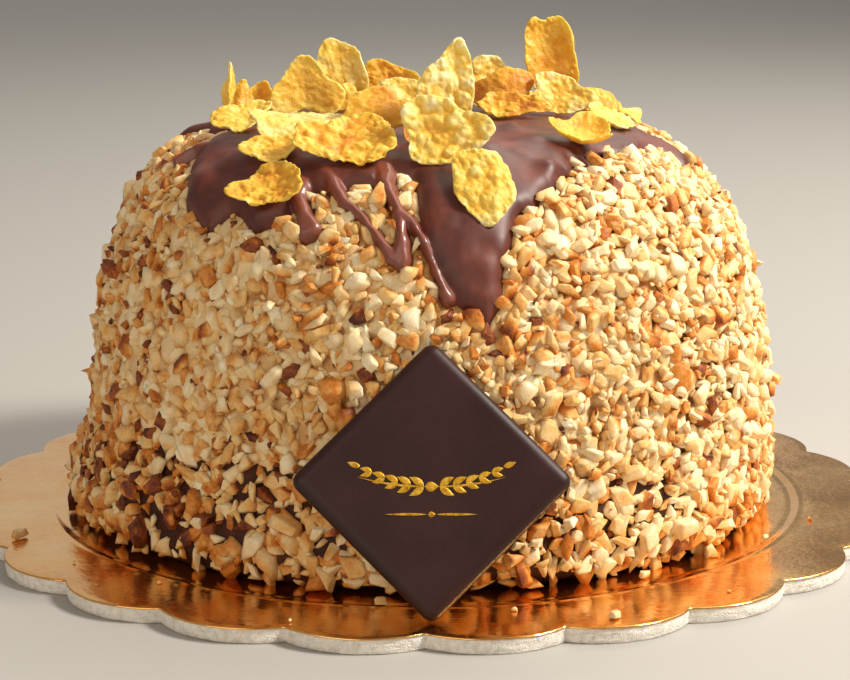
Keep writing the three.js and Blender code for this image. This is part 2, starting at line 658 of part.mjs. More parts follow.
const domeNuts = nutPlaces(NUTS_ON_DOME, BARE_REACH, layerTopReach);
const dome = fuseNuts(toSolid(domeCore(0)), domeNuts, DOME_NUT_SEED, fitsOnDome);
addPart("gelato_dome", dome, NUT_CREAM);

const glaze = addPart("chocolate_glaze", chocolateGlaze(), POURED_CHOCOLATE);
addPart("chocolate_plaque", chocolatePlaque(), PLAQUE_CHOCOLATE);

const laid = [glaze];
FLAKES.forEach((flake, i) => {
  const name = `cornflake_${String(i + 1).padStart(2, "0")}`;
  laid.push(addPart(name, letDown(turnedFlake(flake, i), laid), CORN_YELLOW));
});

export default cake;
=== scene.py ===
import math

import bpy
import numpy as np
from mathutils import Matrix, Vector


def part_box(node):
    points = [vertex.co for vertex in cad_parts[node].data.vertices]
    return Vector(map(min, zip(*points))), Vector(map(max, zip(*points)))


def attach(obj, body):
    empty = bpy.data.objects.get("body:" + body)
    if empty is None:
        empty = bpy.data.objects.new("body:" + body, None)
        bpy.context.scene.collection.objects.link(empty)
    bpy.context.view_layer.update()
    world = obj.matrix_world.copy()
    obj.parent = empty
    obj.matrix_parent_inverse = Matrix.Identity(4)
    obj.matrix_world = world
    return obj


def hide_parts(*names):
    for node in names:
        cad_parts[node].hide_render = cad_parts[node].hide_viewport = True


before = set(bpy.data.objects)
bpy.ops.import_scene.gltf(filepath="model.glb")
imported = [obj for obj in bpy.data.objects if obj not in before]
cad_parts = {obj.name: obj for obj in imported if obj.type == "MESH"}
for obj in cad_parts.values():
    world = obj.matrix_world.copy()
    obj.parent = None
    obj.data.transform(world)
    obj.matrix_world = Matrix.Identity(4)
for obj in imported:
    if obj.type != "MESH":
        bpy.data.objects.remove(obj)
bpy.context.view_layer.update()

# A zuccotto: a domed cake rolled in chopped hazelnuts, glazed with dark chocolate, topped with
# cornflakes and standing on a scalloped gold board. Shapes are worked out in millimetres, +Z up,
# the front towards -Y, and are turned into metres where a mesh is made. An azimuth is measured
# from the front towards +X, and a reach is the way down the dome from its crown.

# ---- sizes ----

MM = 0.001
TURN = 2 * math.pi

BOARD_LOBES = 23
BOARD_RADIUS = 120.0
BOARD_NOTCH_RADIUS = 115.2
BOARD_THICKNESS = 4.0
FOIL_LIP = 0.35
FOIL_ROUND = 0.3
EMBOSSED_RING = 98.7
CARD_UNDER_FOIL = 1.2
COLUMNS_PER_LOBE = 36

DOME_RADIUS = 89.9
DOME_HEIGHT = 99.0
DOME_SIDE_POWER = 5.74
DOME_CROWN_POWER = 2.53
NUT_COAT = 2.3
LEAN_LOW = 5.6
LEAN_HIGH = -7.6
FOOT_HEIGHT = 25.0
FOOT_FULL_HEIGHT = 8.0
FOOT_SPREAD = 3.2
FOOT_SPREAD_LEFT = 1.8
TUCK_HEIGHT = 6.0
TUCK_DEPTH = 5.0

LAYER_HEIGHT = 26.0
LAYER_FALL = 0.04
LAYER_WAVE = 1.6

# The cream: its level under the nuts' tips, how much higher it fills where it lies thickest, how
# far nuts below it push it up, how far it sinks under the glaze, and how its lowest edge turns in.
CREAM_LEVEL = -2.75
CREAM_FILL = 0.6
CREAM_LUMPS = 1.5
CREAM_UNDER_GLAZE = 1.2
CREAM_TURN_IN = 2.2
CREAM_HANG = 1.4
CREAM_MIDDLE = [0, 0, 70]

GLAZE_TOP = 0.8
GLAZE_BASE = -2.6
GLAZE_BEAD = 6.5
GLAZE_CROWN = 46.0
GLAZE_MARGIN = 3.5
# The glaze's edge, in mm from the crown along the dome: [azimuth, reach] by tips and valleys.
GLAZE_EDGE = [
    [-177, 62], [-171, 64], [-168, 79], [-162, 81], [-159, 66], [-153, 60], [-147, 63],
    [-144, 71], [-141, 70], [-138, 60], [-132, 57], [-126, 62], [-123, 84], [-120, 86],
    [-117, 66], [-108, 58], [-105, 67], [-99, 68], [-96, 55], [-85, 56], [-76, 51], [-66, 59],
    [-58, 69], [-53.5, 75], [-50, 80.5], [-41, 85], [-37.2, 79], [-31.5, 83], [-25.5, 80],
    [-22.5, 69.5], [-8.5, 68], [-5.5, 63], [-1.6, 64], [0.2, 85], [1.8, 92.5], [6, 100],
    [9.4, 104.5], [12.2, 100], [13.8, 89], [18.8, 77], [21, 76], [26.5, 71], [34, 66],
    [39, 60.5], [41.8, 65], [44, 60], [52, 57.5], [60, 61], [68, 62], [72, 64], [75, 73],
    [81, 74], [84, 62], [90, 56], [96, 58], [99, 68], [102, 66], [105, 57], [111, 56],
    [114, 74], [120, 78], [123, 62], [129, 57], [135, 60], [138, 72], [144, 70], [147, 60],
    [153, 58], [159, 62], [162, 86], [168, 88], [171, 68],
]

# Threads of chocolate: width, and the same kind of places along the middle.
GLAZE_THREADS = [
    (3.4, [[-62, 60], [-66, 67]]),
    (5.0, [[-25.5, 69], [-23, 75], [-20.4, 81]]),
    (3.3, [[-20.5, 63], [-14.6, 73], [-11, 76.8], [-7.4, 83], [-5.2, 87.5]]),
    (4.0, [[-8, 60], [-6, 70], [-3.9, 76], [-3.6, 82], [-4, 88]]),
    (3.0, [[-4, 76.4], [-1.9, 78.2], [0.4, 84], [2.2, 92], [3.6, 97]]),
]
THREAD_DROP = 0.72
THREAD_FLARE = 0.3
THREAD_STEEPNESS = 2.4
# Nuts that push the glaze up from below: azimuth, reach, how wide and how high.
GLAZE_LUMPS = [
    [43.2, 34.4, 3.2, 1.5], [29, 64.4, 3.0, 1.5], [-48.2, 71.2, 4.0, 1.2], [20, 52, 6, 0.8],
    [-66, 62, 2.5, 0.9], [8.8, 77.2, 5, 0.6], [-35, 74, 4, 0.7], [36, 50, 5, 0.8],
]

PLAQUE_SIDE = 45.4
PLAQUE_THICKNESS = 4.4
PLAQUE_CORNER = 2.8
PLAQUE_EDGE_ROUND = 2.1
PLAQUE_EDGE_INSET = 3.0
PLAQUE_LEAN = math.radians(23)
PLAQUE_ROOM = 0.3
SPRIG_SCALE = 1.15
SPRIG_RELIEF = 0.16
SPRIG_LIFT = 0.02
SPRIG_DOWN = 1.4

# Chopped nuts in three coats: spacing; rise of their middles and its spread; tilt; size, as a share
# of the usual length; missing, the share that isn't there on the cream, and on the dark layer where
# that is thinly coated; and warmth, how much browner than usual they are.
COAT_FIELDS = ("spacing", "rise", "spread", "tilt", "size", "missing", "warmth")
NUT_COATS = [
    (3.1, -1.8, 0.3, 0.3, 1.0, (0.05, 0.2), 0.0),
    (4.1, -1.0, 0.5, 0.5, 1.08, (0.1, 0.62), -0.1),
    (2.7, -1.2, 0.4, 0.9, 0.42, (0.7, 1.0), 0.9),
]
# In front of and left of the middle nuts are pressed in, by the azimuth's sine. By the same sine
# they are browner to the left, as painted shade, and paler to the right, as painted light. On the
# dark layer they are browner, most to the left.
NUT_PRESSED_LEFT = 0.7
NUT_PAINTED_SHADE_LEFT = 0.35
NUT_PAINTED_LIGHT_RIGHT = 0.25
NUT_WARMER_LOW = 0.5
NUT_FIRST_REACH = 50
NUT_LENGTH = 4.1
NUT_LONGEST = 6.0
NUT_SHORTEST = 2.2
# Kinds of nut: name; tone, 0 blanched to 1 in its skin; and scorch, how far one end is browned.
NUT_KINDS = [
    ("nuts_blanched", 0.03, 0.4),
    ("nuts_pale", 0.14, 0.55),
    ("nuts_golden", 0.26, 0.6),
    ("nuts_toasted", 0.42, 0.36),
    ("nuts_in_skin", 0.7, 0.26),
]
NUT_KIND_BREAKS = [-0.62, 0.15, 1.05, 1.95]

# Cornflakes, in the order of their nodes: at, the middle in plan; size, across and along; tilt,
# 0 lying and 90 standing; facing, the azimuth a tilted face looks to; spin, the turn in its own
# plane; rise, how far sides and ends bend up; point, where the outline is drawn out and by how
# much; toast, 0 pale to 1 amber; and blister, how strongly it has bubbled.
FLAKE_THICKNESS = 1.3
FLAKE_RIPPLE = 0.5
FLAKE_OVAL = 0.04
FLAKE_RAGGED = 0.05
FLAKE_SMALL = 11
FLAKE_STEPS = 56
FLAKE_STEPS_SMALL = 32
FLAKE_FIELDS = ("at", "size", "tilt", "facing", "spin", "rise", "point", "toast_and_shade", "blister")
FLAKES = [
    ([-36, -49], [15, 12.5], 24, -34, 20, [1.6, 0.6], [170, 0.1], 0.36, 0.5),
    ([-46, -17], [14.5, 18], 20, -40, 20, [1.2, 0.8], [60, 0.12], 0.30, 0.6),
    ([-36, -63], [18, 13], 38, -26, 18, [1.4, 1], [200, 0.14], 0.42, 1.0),
    ([-31, -36], [23, 17], 18, 2, -8, [1.5, -0.8], [150, 0.12], 0.20, 0.5),
    ([-18, -54], [24, 18], 32, 2, -3, [1.4, 1.2], [190, 0.12], 0.44, 1.3),
    ([13.5, -70.2], [14, 21], 53, 9, 8, [-1, -1.5], [250, 0.04], 0.28, 1.0),
    ([4.5, -56.5], [20.5, 17], 62, -6, -8, [2, 1.2], [255, 0.14], 0.22, 1.1),
    ([-3.6, -47], [3.6, 6.5], 72, 10, 10, [0.5, 0.3], [90, 0.05], 0.75, 0.3),
    ([-12, -38], [19.5, 13], 48, 6, 18, [-2.4, -1], [200, 0.16], 0.52, 0.25),
    ([5, -41], [13.5, 23.5], 78, 10, -14, [1.4, 1.4], [80, 0.1], 0.16, 1.1),
    ([-31, 3], [18, 15], 80, 5, 0, [1.1, 0.9], [92, 0.24], 0.34, 0.3),
    ([-20.5, 8], [8, 7], 72, 20, 30, [0.6, 0.4], [300, 0.16], 0.42, 0.4),
    ([-22.5, 18], [14, 17.5], 78, -6, 22, [1.2, -1], [90, 0.06], 0.22, 0.5),
    ([-6.5, 12], [12, 9], 66, 0, 0, [1, 0.6], [30, 0.1], 0.15, 0.8),
    ([-9.5, 25], [17, 11], 76, -4, -6, [1.4, 0.8], [0, 0.1], 0.50, 0.6),
    ([-43, 14], [7.5, 8], 74, -10, 0, [0.8, 0.4], [90, 0.06], 0.42, 0.4),
    ([-48.5, 13], [5, 8.5], 70, 10, -10, [0.5, 0.4], [90, 0.06], 0.42, 0.4),
    ([-50.5, 3], [9, 14], 84, -72, 4, [0.9, 0.9], [90, 0.08], 0.32, 0.6),
    ([22.5, -5], [18, 8.5], 42, 2, -4, [1.4, 0.8], [350, 0.1], 0.52, 0.8),
    ([20.2, 3], [17, 11.8], 74, -6, 4, [-1.6, -1.2], [60, 0.12], 0.60, 0.3),
    ([16.5, 12], [12, 15], 80, 8, -10, [1, 1], [120, 0.06], 0.16, 0.7),
    ([35, 3], [15.5, 11.5], 62, 6, -14, [1.2, 0.8], [0, 0.1], 0.26, 0.7),
    ([33, 13], [14, 24], 84, 4, 12, [1.6, 1.2], [260, 0.05], 0.44, 0.4),
    ([46, 22], [13, 9.5], 40, 6, -8, [-1.2, -0.8], [330, 0.08], 0.44, 0.5),
    ([47, -12], [13, 10.5], 30, 48, -30, [1, 0.8], [150, 0.1], 0.26, 0.7),
    ([54, 10], [8, 7.5], 30, 50, 10, [0.8, 0.4], [0, 0.2], 0.34, 0.6),
    ([38, -38], [16, 13.5], 18, 14, -10, [4.4, 3], [60, 0.14], 0.44, 0.3),
    ([3, 44], [15, 17], 10, 170, 30, [1.2, 0.8], [20, 0.1], 0.32, 0.7),
    ([-27, 38], [17, 14], 14, 200, -20, [1.5, 1], [110, 0.12], 0.38, 0.7),
    ([27, 36], [16, 13], 12, 150, 10, [-1.4, -0.9], [200, 0.1], 0.26, 0.7),
]

# Crumbs of nut on the board: place and length.
BOARD_CRUMBS = [
    (-100.5, -45.8, 4.6), (-10.3, -96.5, 4.2), (68.9, -59.4, 5.4), (51.8, -77.5, 3.6),
    (42.3, -106.0, 3.4), (84.4, -47.0, 3.0), (-62.0, -82.0, 1.4), (70.0, -88.0, 1.2),
    (98.0, -30.0, 1.5), (-84.0, -66.0, 1.2), (20.0, -101.0, 1.6), (-30.0, -108.0, 1.2),
]

CAMERA_AT = (0.0, -588.2, 171.2)
CAMERA_PITCH = math.radians(12.16)
CAMERA_LENS = 96.46
SENSOR_WIDTH = 36.0

# Lamps: name, azimuth, elevation, distance and size in metres, watts and colour.
LAMPS = [
    ("key", 77, 42, 1.1, 0.3, 17, (1.0, 0.95, 0.87)),
    ("fill", -30, 20, 1.4, 1.0, 4.6, (1.0, 0.85, 0.68)),
    ("back", 148, 50, 1.3, 0.8, 8, (1.0, 0.94, 0.84)),
    ("low_back", 186, 18, 2.6, 1.6, 2.2, (1.0, 0.97, 0.94)),
]
LAMPS_LOOK_AT = 0.06
SKY_STRENGTH = 0.32
FLOOR_SIZE = 30.0
FLOOR_DROP = 0.0001


# ---- meshes ----


def put_in_scene(name, data):
    placed = bpy.data.objects.new(name, data)
    bpy.context.scene.collection.objects.link(placed)
    return placed


def stacked(x, y, z):
    """Points from their three coordinates, each a number or an array."""
    return np.stack(np.broadcast_arrays(x, y, z), axis=-1)


def unit(vectors, axis=-1):
    """The same directions, each one long."""
    return vectors / (np.linalg.norm(vectors, axis=axis, keepdims=True) + 1e-9)


def turned_level(angle):
    """The matrix that turns rows of x and y by an angle."""
    sine, cosine = math.sin(angle), math.cos(angle)
    return np.array([[cosine, sine], [-sine, cosine]])


def make_piece(name, points, faces, finish, stands_for=(), values=None, normals=None):
    """A piece from points in millimetres and blocks of faces, each an array of corner numbers.

    values are named numbers at the points, for the finish to read; normals set the shading.
    """
    mesh = bpy.data.meshes.new(name)
    mesh.vertices.add(len(points))
    mesh.vertices.foreach_set("co", (np.asarray(points, np.float32) * MM).ravel())
    corners = np.concatenate([block.ravel() for block in faces])
    sides = np.concatenate([np.full(len(block), block.shape[1]) for block in faces])
    mesh.loops.add(len(corners))
    mesh.loops.foreach_set("vertex_index", corners.astype(np.int32))
    mesh.polygons.add(len(sides))
    starts = np.concatenate([[0], np.cumsum(sides)[:-1]])
    mesh.polygons.foreach_set("loop_start", starts.astype(np.int32))
    mesh.update(calc_edges=True)
    mesh.shade_smooth()
    if normals is not None:
        mesh.normals_split_custom_set_from_vertices(np.asarray(normals, np.float32))
    for label, numbers in (values or {}).items():
        layer = mesh.attributes.new(label, "FLOAT", "POINT")
        layer.data.foreach_set("value", np.asarray(numbers, np.float32).ravel())
    mesh.materials.append(MATERIALS[finish])
    piece = put_in_scene(name, mesh)
    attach(piece, "root")
    if stands_for:
        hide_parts(*stands_for)
    return piece


def ring_faces(rings, columns, first=0):
    """Quads between rings of points that run once round, each ring above the one before."""
    ring, column = np.meshgrid(np.arange(rings - 1), np.arange(columns), indexing="ij")
    beside = (column + 1) % columns
    low, high = first + ring * columns, first + (ring + 1) * columns
    corners = [low + column, low + beside, high + beside, high + column]
    return np.stack(corners, axis=-1).reshape(-1, 4)


def fan_faces(middle, ring_start, columns, upwards):
    """Triangles from one point to a ring, facing up or down."""
    column = np.arange(columns)
    this, beside = ring_start + column, ring_start + (column + 1) % columns
    pair = (this, beside) if upwards else (beside, this)
    return np.stack([np.full(columns, middle), *pair], axis=-1)


def turned_shell(rings, low_middle, high_middle):
    """Points and faces of a closed shell: a lowest point, rings of points and a highest point."""
    count, columns = rings.shape[:2]
    points = np.concatenate([rings.reshape(-1, 3), [low_middle, high_middle]])
    low, high = count * columns, count * columns + 1
    faces = [
        ring_faces(count, columns),
        fan_faces(low, 0, columns, upwards=False),
        fan_faces(high, (count - 1) * columns, columns, upwards=True),
    ]
    return points, faces


def sheet_faces(rows, columns, first=0):
    """Quads of an open grid of rows and columns of points."""
    row, column = np.meshgrid(np.arange(rows - 1), np.arange(columns - 1), indexing="ij")
    low, high = first + row * columns + column, first + (row + 1) * columns + column
    return np.stack([low, low + 1, high + 1, high], axis=-1).reshape(-1, 4)


# ---- settled noise ----


def cell_number(cells, seed):
    """A settled number from 0 to 1 for each whole-numbered cell, by mixing its bits."""
    x, y, z = (cells[..., axis].astype(np.uint32) for axis in range(3))
    mixed = x * np.uint32(2376512323) ^ y * np.uint32(3625334849) ^ z * np.uint32(3407524639)
    mixed = mixed ^ np.uint32((seed * 2654435761) % 2**32)
    mixed = (mixed ^ (mixed >> np.uint32(15))) * np.uint32(739982445)
    mixed = (mixed ^ (mixed >> np.uint32(12))) * np.uint32(695872825)
    return (mixed ^ (mixed >> np.uint32(15))) / 2.0**32


def soft_noise(points, grain, seed):
    """Noise from -1 to 1: random heights at the corners of cubes, blended smoothly between."""
    scaled = np.asarray(points, float) / grain
    cell = np.floor(scaled).astype(np.int64)
    part = scaled - cell
    blend = part**3 * (part * (part * 6 - 15) + 10)
    total = np.zeros(scaled.shape[:-1])
    for corner in np.ndindex(2, 2, 2):
        weight = np.prod(np.where(corner, blend, 1 - blend), axis=-1)
        total += weight * cell_number(cell + np.array(corner), seed)
    return 2 * total - 1


def layered_noise(points, grain, seed, layers=3):
    """Soft noise with finer and weaker noise laid over it, still about -1 to 1."""
    total, weight = 0.0, 1.0
    for layer in range(layers):
        total = total + weight * soft_noise(points, grain / 2**layer, seed + layer)
        weight *= 0.5
    return total / (2 - 2 * weight)


def bead_caps(points, spacing, seed, steep=0.5):
    """Lumps from 0 to 1 over beads scattered one to each cube, each with its own size and height.

    A lump is one less the square of the way from its bead, in radii, raised to the power steep.
    Where lumps overlap, the highest counts.
    """
    scaled = np.asarray(points, float) / spacing
    cell = np.floor(scaled).astype(np.int64)
    highest = np.zeros(scaled.shape[:-1])
    for step in np.ndindex(3, 3, 3):
        there = cell + np.array(step) - 1
        x, y, z, size, height = (cell_number(there, seed + draw) for draw in range(5))
        away = np.linalg.norm(there + stacked(x, y, z) - scaled, axis=-1)
        cap = np.clip(1 - (away / (0.34 + 0.42 * size)) ** 2, 0, 1) ** steep
        highest = np.maximum(highest, cap * (0.45 + 0.55 * height))
    return highest


def smooth_step(start, end, value):
    """0 at start to 1 at end, by the cubic that is level at both."""
    t = np.clip((value - start) / (end - start), 0, 1)
    return t * t * (3 - 2 * t)


# ---- the dome's form ----


def dome_outline():
    """Reach, radius and height down the outline, where the powers of radius and height add to 1."""
    angle = np.linspace(0, math.pi / 2, 1201)
    radius = DOME_RADIUS * np.sin(angle) ** (2 / DOME_SIDE_POWER)
    height = DOME_HEIGHT * np.clip(np.cos(angle), 0, None) ** (2 / DOME_CROWN_POWER)
    steps = np.hypot(np.diff(radius), np.diff(height))
    return np.concatenate([[0], np.cumsum(steps)]), radius, height


REACHES, RADII, HEIGHTS = dome_outline()
DOME_LENGTH = REACHES[-1]


def outline_normal(radius, height):
    """The outward direction across the outline: the slope of the two powers, made one long."""
    out = DOME_SIDE_POWER * (radius / DOME_RADIUS) ** (DOME_SIDE_POWER - 1) / DOME_RADIUS
    up = DOME_CROWN_POWER * (height / DOME_HEIGHT) ** (DOME_CROWN_POWER - 1) / DOME_HEIGHT
    length = np.hypot(out, up)
    return out / length, up / length


def on_dome(azimuth, reach, rise):
    """Points on the dome, raised from the tips of the nuts, with its lean, foot and tuck."""
    azimuth, reach, rise = np.broadcast_arrays(azimuth, reach, rise)
    radius, height = np.interp(reach, REACHES, RADII), np.interp(reach, REACHES, HEIGHTS)
    out, up = outline_normal(radius, height)
    radius = radius + rise * out
    height = np.clip(height + rise * up, 0, None)
    level = height / DOME_HEIGHT
    lean = LEAN_LOW * level + LEAN_HIGH * level**2
    spread = FOOT_SPREAD - FOOT_SPREAD_LEFT * np.sin(azimuth)
    foot = spread * smooth_step(FOOT_HEIGHT, FOOT_FULL_HEIGHT, height)
    tuck = TUCK_DEPTH * np.clip(1 - height / TUCK_HEIGHT, 0, None) ** 2
    radius = radius + foot - tuck
    x, y = radius * np.sin(azimuth) + lean, -radius * np.cos(azimuth)
    return stacked(x, y, height + BOARD_THICKNESS)


def dome_axes(azimuth, reach):
    """At each place: the way round the dome, the way up it and the way out, as columns."""
    radius, height = np.interp(reach, REACHES, RADII), np.interp(reach, REACHES, HEIGHTS)
    out, up = outline_normal(radius, height)
    sine, cosine = np.sin(azimuth), np.cos(azimuth)
    outward, around = stacked(out * sine, -out * cosine, up), stacked(cosine, sine, 0.0)
    return np.stack([around, np.cross(outward, around), outward], axis=-1)


def layer_height(azimuth):
    """The dark layer's top: it falls to the right, and waves three times round."""
    fall = LAYER_FALL * DOME_RADIUS * np.sin(azimuth)
    return LAYER_HEIGHT - fall + LAYER_WAVE * np.cos(3 * azimuth)


def layer_reach(azimuth):
    return np.interp(-layer_height(azimuth), -HEIGHTS, REACHES)


# ---- materials ----


def linear(red, green, blue):
    """A colour given as 0 to 255 on screen, as the amounts of light that Blender mixes."""
    shares = [value / 255 for value in (red, green, blue)]
    light = [s / 12.92 if s <= 0.04045 else ((s + 0.055) / 1.055) ** 2.4 for s in shares]
    return (*light, 1.0)


def feed(tree, node, inputs):
    """Sets a node's inputs, each to a value or by a link from another node's output."""
    for label, value in inputs.items():
        if isinstance(value, bpy.types.NodeSocket):
            tree.links.new(value, node.inputs[label])
        else:
            node.inputs[label].default_value = value


def wired(tree, kind, inputs, **settings):
    """A new shader node with its settings, its inputs fed."""
    node = tree.nodes.new("ShaderNode" + kind)
    for label, value in settings.items():
        setattr(node, label, value)
    feed(tree, node, inputs)
    return node


def crumb_grain_group():
    """Mottling and a fine relief for anything baked, chopped or poured.

    Mottle is broad noise with fine noise over it, about 0 to 1; Relief is fine noise and pores.
    """
    tree = bpy.data.node_groups.new("crumb grain", "ShaderNodeTree")
    for label, default in (("Broad", 150.0), ("Fine", 900.0), ("Pores", 0.3)):
        socket = tree.interface.new_socket(label, in_out="INPUT", socket_type="NodeSocketFloat")
        socket.default_value = default
    for label in ("Mottle", "Relief"):
        tree.interface.new_socket(label, in_out="OUTPUT", socket_type="NodeSocketFloat")
    given = tree.nodes.new("NodeGroupInput").outputs
    spot = wired(tree, "TexCoord", {}).outputs["Object"]
    broad, fine, pores = (
        wired(tree, "TexNoise", {"Vector": spot, "Scale": given[scale], "Detail": detail})
        .outputs["Fac"]
        for scale, detail in (("Broad", 3.0), ("Fine", 4.0), ("Fine", 1.0))
    )
    mottle = wired(tree, "Mix", {"Factor": 0.35, "A": broad, "B": fine}).outputs["Result"]
    stretch = wired(tree, "MapRange", {"Value": mottle, "From Min": 0.3, "From Max": 0.7})
    relief = wired(tree, "Math", {0: pores, 1: given["Pores"], 2: fine}, operation="MULTIPLY_ADD")
    feed(tree, tree.nodes.new("NodeGroupOutput"),
         {"Mottle": stretch.outputs["Result"], "Relief": relief.outputs["Value"]})
    return tree


CRUMB_GRAIN = crumb_grain_group()


def food_material(name, stops, roughness, grain, mottling, bump, look=0.0, attribute=None,
                  coat=0.0, **shader_values):
    """A Principled material whose colour runs through stops, from the piece's own attribute.

    look is where the colour starts on the stops if no attribute says so, mottling is how far the
    grain moves it along them, bump is the relief's strength and depth, and coat is how wet the
    attribute makes it.
    """
    material = bpy.data.materials.new(name)
    material.use_nodes = True
    tree = material.node_tree
    texture = wired(tree, "Group", dict(zip(("Broad", "Fine", "Pores"), grain)),
                    node_tree=CRUMB_GRAIN)
    mottle, relief = texture.outputs["Mottle"], texture.outputs["Relief"]
    if attribute:
        look = wired(tree, "Attribute", {}, attribute_name=attribute).outputs["Fac"]
    shift = wired(tree, "Math", {0: mottle, 1: mottling, 2: look}, operation="MULTIPLY_ADD")
    ramp = wired(tree, "ValToRGB", {"Fac": shift.outputs["Value"]})
    elements = ramp.color_ramp.elements
    while len(elements) < len(stops):
        elements.new(0.5)
    for element, (place, colour) in zip(elements, stops):
        element.position = place
        element.color = linear(*colour)
    gloss = wired(tree, "MapRange",
                  {"Value": mottle, "To Min": roughness[0], "To Max": roughness[1]})
    raised = wired(tree, "Bump", {"Strength": bump[0], "Distance": bump[1] * MM, "Height": relief})
    shader = {label.replace("_", " "): value for label, value in shader_values.items()}
    if coat:
        wet = wired(tree, "Math", {0: look, 1: coat}, operation="MULTIPLY")
        shader["Coat Weight"] = wet.outputs["Value"]
    shader["Base Color"] = ramp.outputs["Color"]
    shader["Roughness"] = gloss.outputs["Result"]
    shader["Normal"] = raised.outputs["Normal"]
    feed(tree, tree.nodes["Principled BSDF"], shader)
    return material


NUT_STOPS = [
    (0.0, (254, 243, 216)), (0.2, (246, 221, 174)), (0.42, (236, 188, 114)),
    (0.62, (214, 132, 46)), (0.8, (156, 80, 32)), (1.0, (88, 40, 26)),
]
NUT_MEAT = ((0.42, 0.6), (330, 1500, 0.5), 0.3, (0.35, 0.25), {
    "attribute": "toast_and_shade", "Subsurface_Weight": 0.2, "Subsurface_Scale": 0.0015,
    "Subsurface_Radius": (1.0, 0.5, 0.2), "Specular_IOR_Level": 0.35})
# Finishes: colours at their places from 0 to 1; roughness, least and most; grain, broad, fine and
# pores; mottling; the relief's strength and its depth in mm; and what else food_material is given.
FINISHES = {
    "gold_foil": (
        [(0.0, (226, 152, 72)), (0.45, (246, 186, 106)), (1.0, (253, 216, 150))],
        (0.1, 0.26), (45, 700, 0.4), 0.8, (0.3, 0.15), {"look": 0.1, "Metallic": 1.0}),
    "grey_card": (
        [(0.0, (206, 197, 182)), (0.5, (236, 229, 216)), (1.0, (252, 248, 240))],
        (0.8, 0.95), (600, 2600, 0.6), 1.0, (0.8, 0.25), {}),
    "dark_layer": (
        [(0.0, (44, 20, 12)), (0.5, (68, 34, 20)), (1.0, (100, 54, 34))],
        (0.55, 0.8), (160, 900, 0.5), 1.0, (0.5, 0.35), {"Specular_IOR_Level": 0.25}),
    # The nut cream's darker stops are the painted shade between the nuts.
    "nut_cream": (
        [(0.0, (246, 226, 186)), (0.3, (232, 198, 144)), (0.6, (206, 152, 86)), (1.0, (150, 90, 42))],
        (0.45, 0.7), (200, 1100, 0.6), 0.3, (0.5, 0.35),
        {"attribute": "toast_and_shade", "Subsurface_Weight": 0.2, "Subsurface_Scale": 0.002}),
    "nuts_blanched": (NUT_STOPS, *NUT_MEAT),
    "nuts_pale": (NUT_STOPS, *NUT_MEAT),
    "nuts_golden": (NUT_STOPS, *NUT_MEAT),
    "nuts_toasted": (NUT_STOPS, *NUT_MEAT),
    "nuts_in_skin": (
        NUT_STOPS, (0.35, 0.65), (500, 1400, 0.8), 0.3, (0.7, 0.35),
        {"attribute": "toast_and_shade", "Specular_IOR_Level": 0.3}),
    "poured_glaze": (
        [(0.0, (70, 26, 15)), (0.25, (94, 37, 22)), (0.5, (122, 54, 35)), (1.0, (126, 62, 43))],
        (0.44, 0.56), (90, 500, 0.1), 0.5, (0.12, 0.2),
        {"attribute": "thin", "coat": 0.5, "Coat_Roughness": 0.16, "Specular_IOR_Level": 0.58,
         "Subsurface_Weight": 0.06, "Subsurface_Scale": 0.001}),
    "plaque_chocolate": (
        [(0.0, (40, 15, 12)), (0.5, (48, 20, 16)), (1.0, (58, 27, 23))],
        (0.38, 0.5), (60, 1300, 0.1), 1.0, (0.08, 0.1), {"Specular_IOR_Level": 0.33}),
    "gilt_print": (
        [(0.0, (150, 98, 18)), (0.5, (214, 160, 34)), (1.0, (240, 200, 84))],
        (0.35, 0.6), (900, 4200, 0.6), 1.0, (0.5, 0.06), {"Metallic": 0.55}),
    "corn_flake": (
        [(0.0, (254, 240, 198)), (0.2, (252, 220, 138)), (0.4, (249, 199, 78)),
         (0.6, (239, 174, 46)), (0.8, (218, 140, 32)), (1.0, (166, 92, 26))],
        (0.42, 0.62), (600, 2200, 0.8), 0.24, (0.4, 0.25),
        {"attribute": "toast_and_shade", "Subsurface_Weight": 0.35, "Subsurface_Scale": 0.003,
         "Subsurface_Radius": (1.0, 0.7, 0.2)}),
}
MATERIALS = {
    name: food_material(name, *look, **others) for name, (*look, others) in FINISHES.items()
}


# ---- where the plaque stands ----


def plaque_frame():
    """The plaque's own axes as columns, across, up its face and out of it, and its middle."""
    sine, cosine = math.sin(PLAQUE_LEAN), math.cos(PLAQUE_LEAN)
    axes = np.array([[1, 0, 0], [0, sine, cosine], [0, -cosine, sine]], float).T
    low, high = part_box("chocolate_plaque")
    return axes, (np.array(low) + np.array(high)) / 2 / MM


PLAQUE_AXES, PLAQUE_MIDDLE = plaque_frame()


# ---- nut coat ----


BOX_CORNERS = np.array(list(np.ndindex(2, 2, 2)), float) * 2 - 1
CHIP_CORNERS = 24
CHIP_CORNER_CUT = 0.7


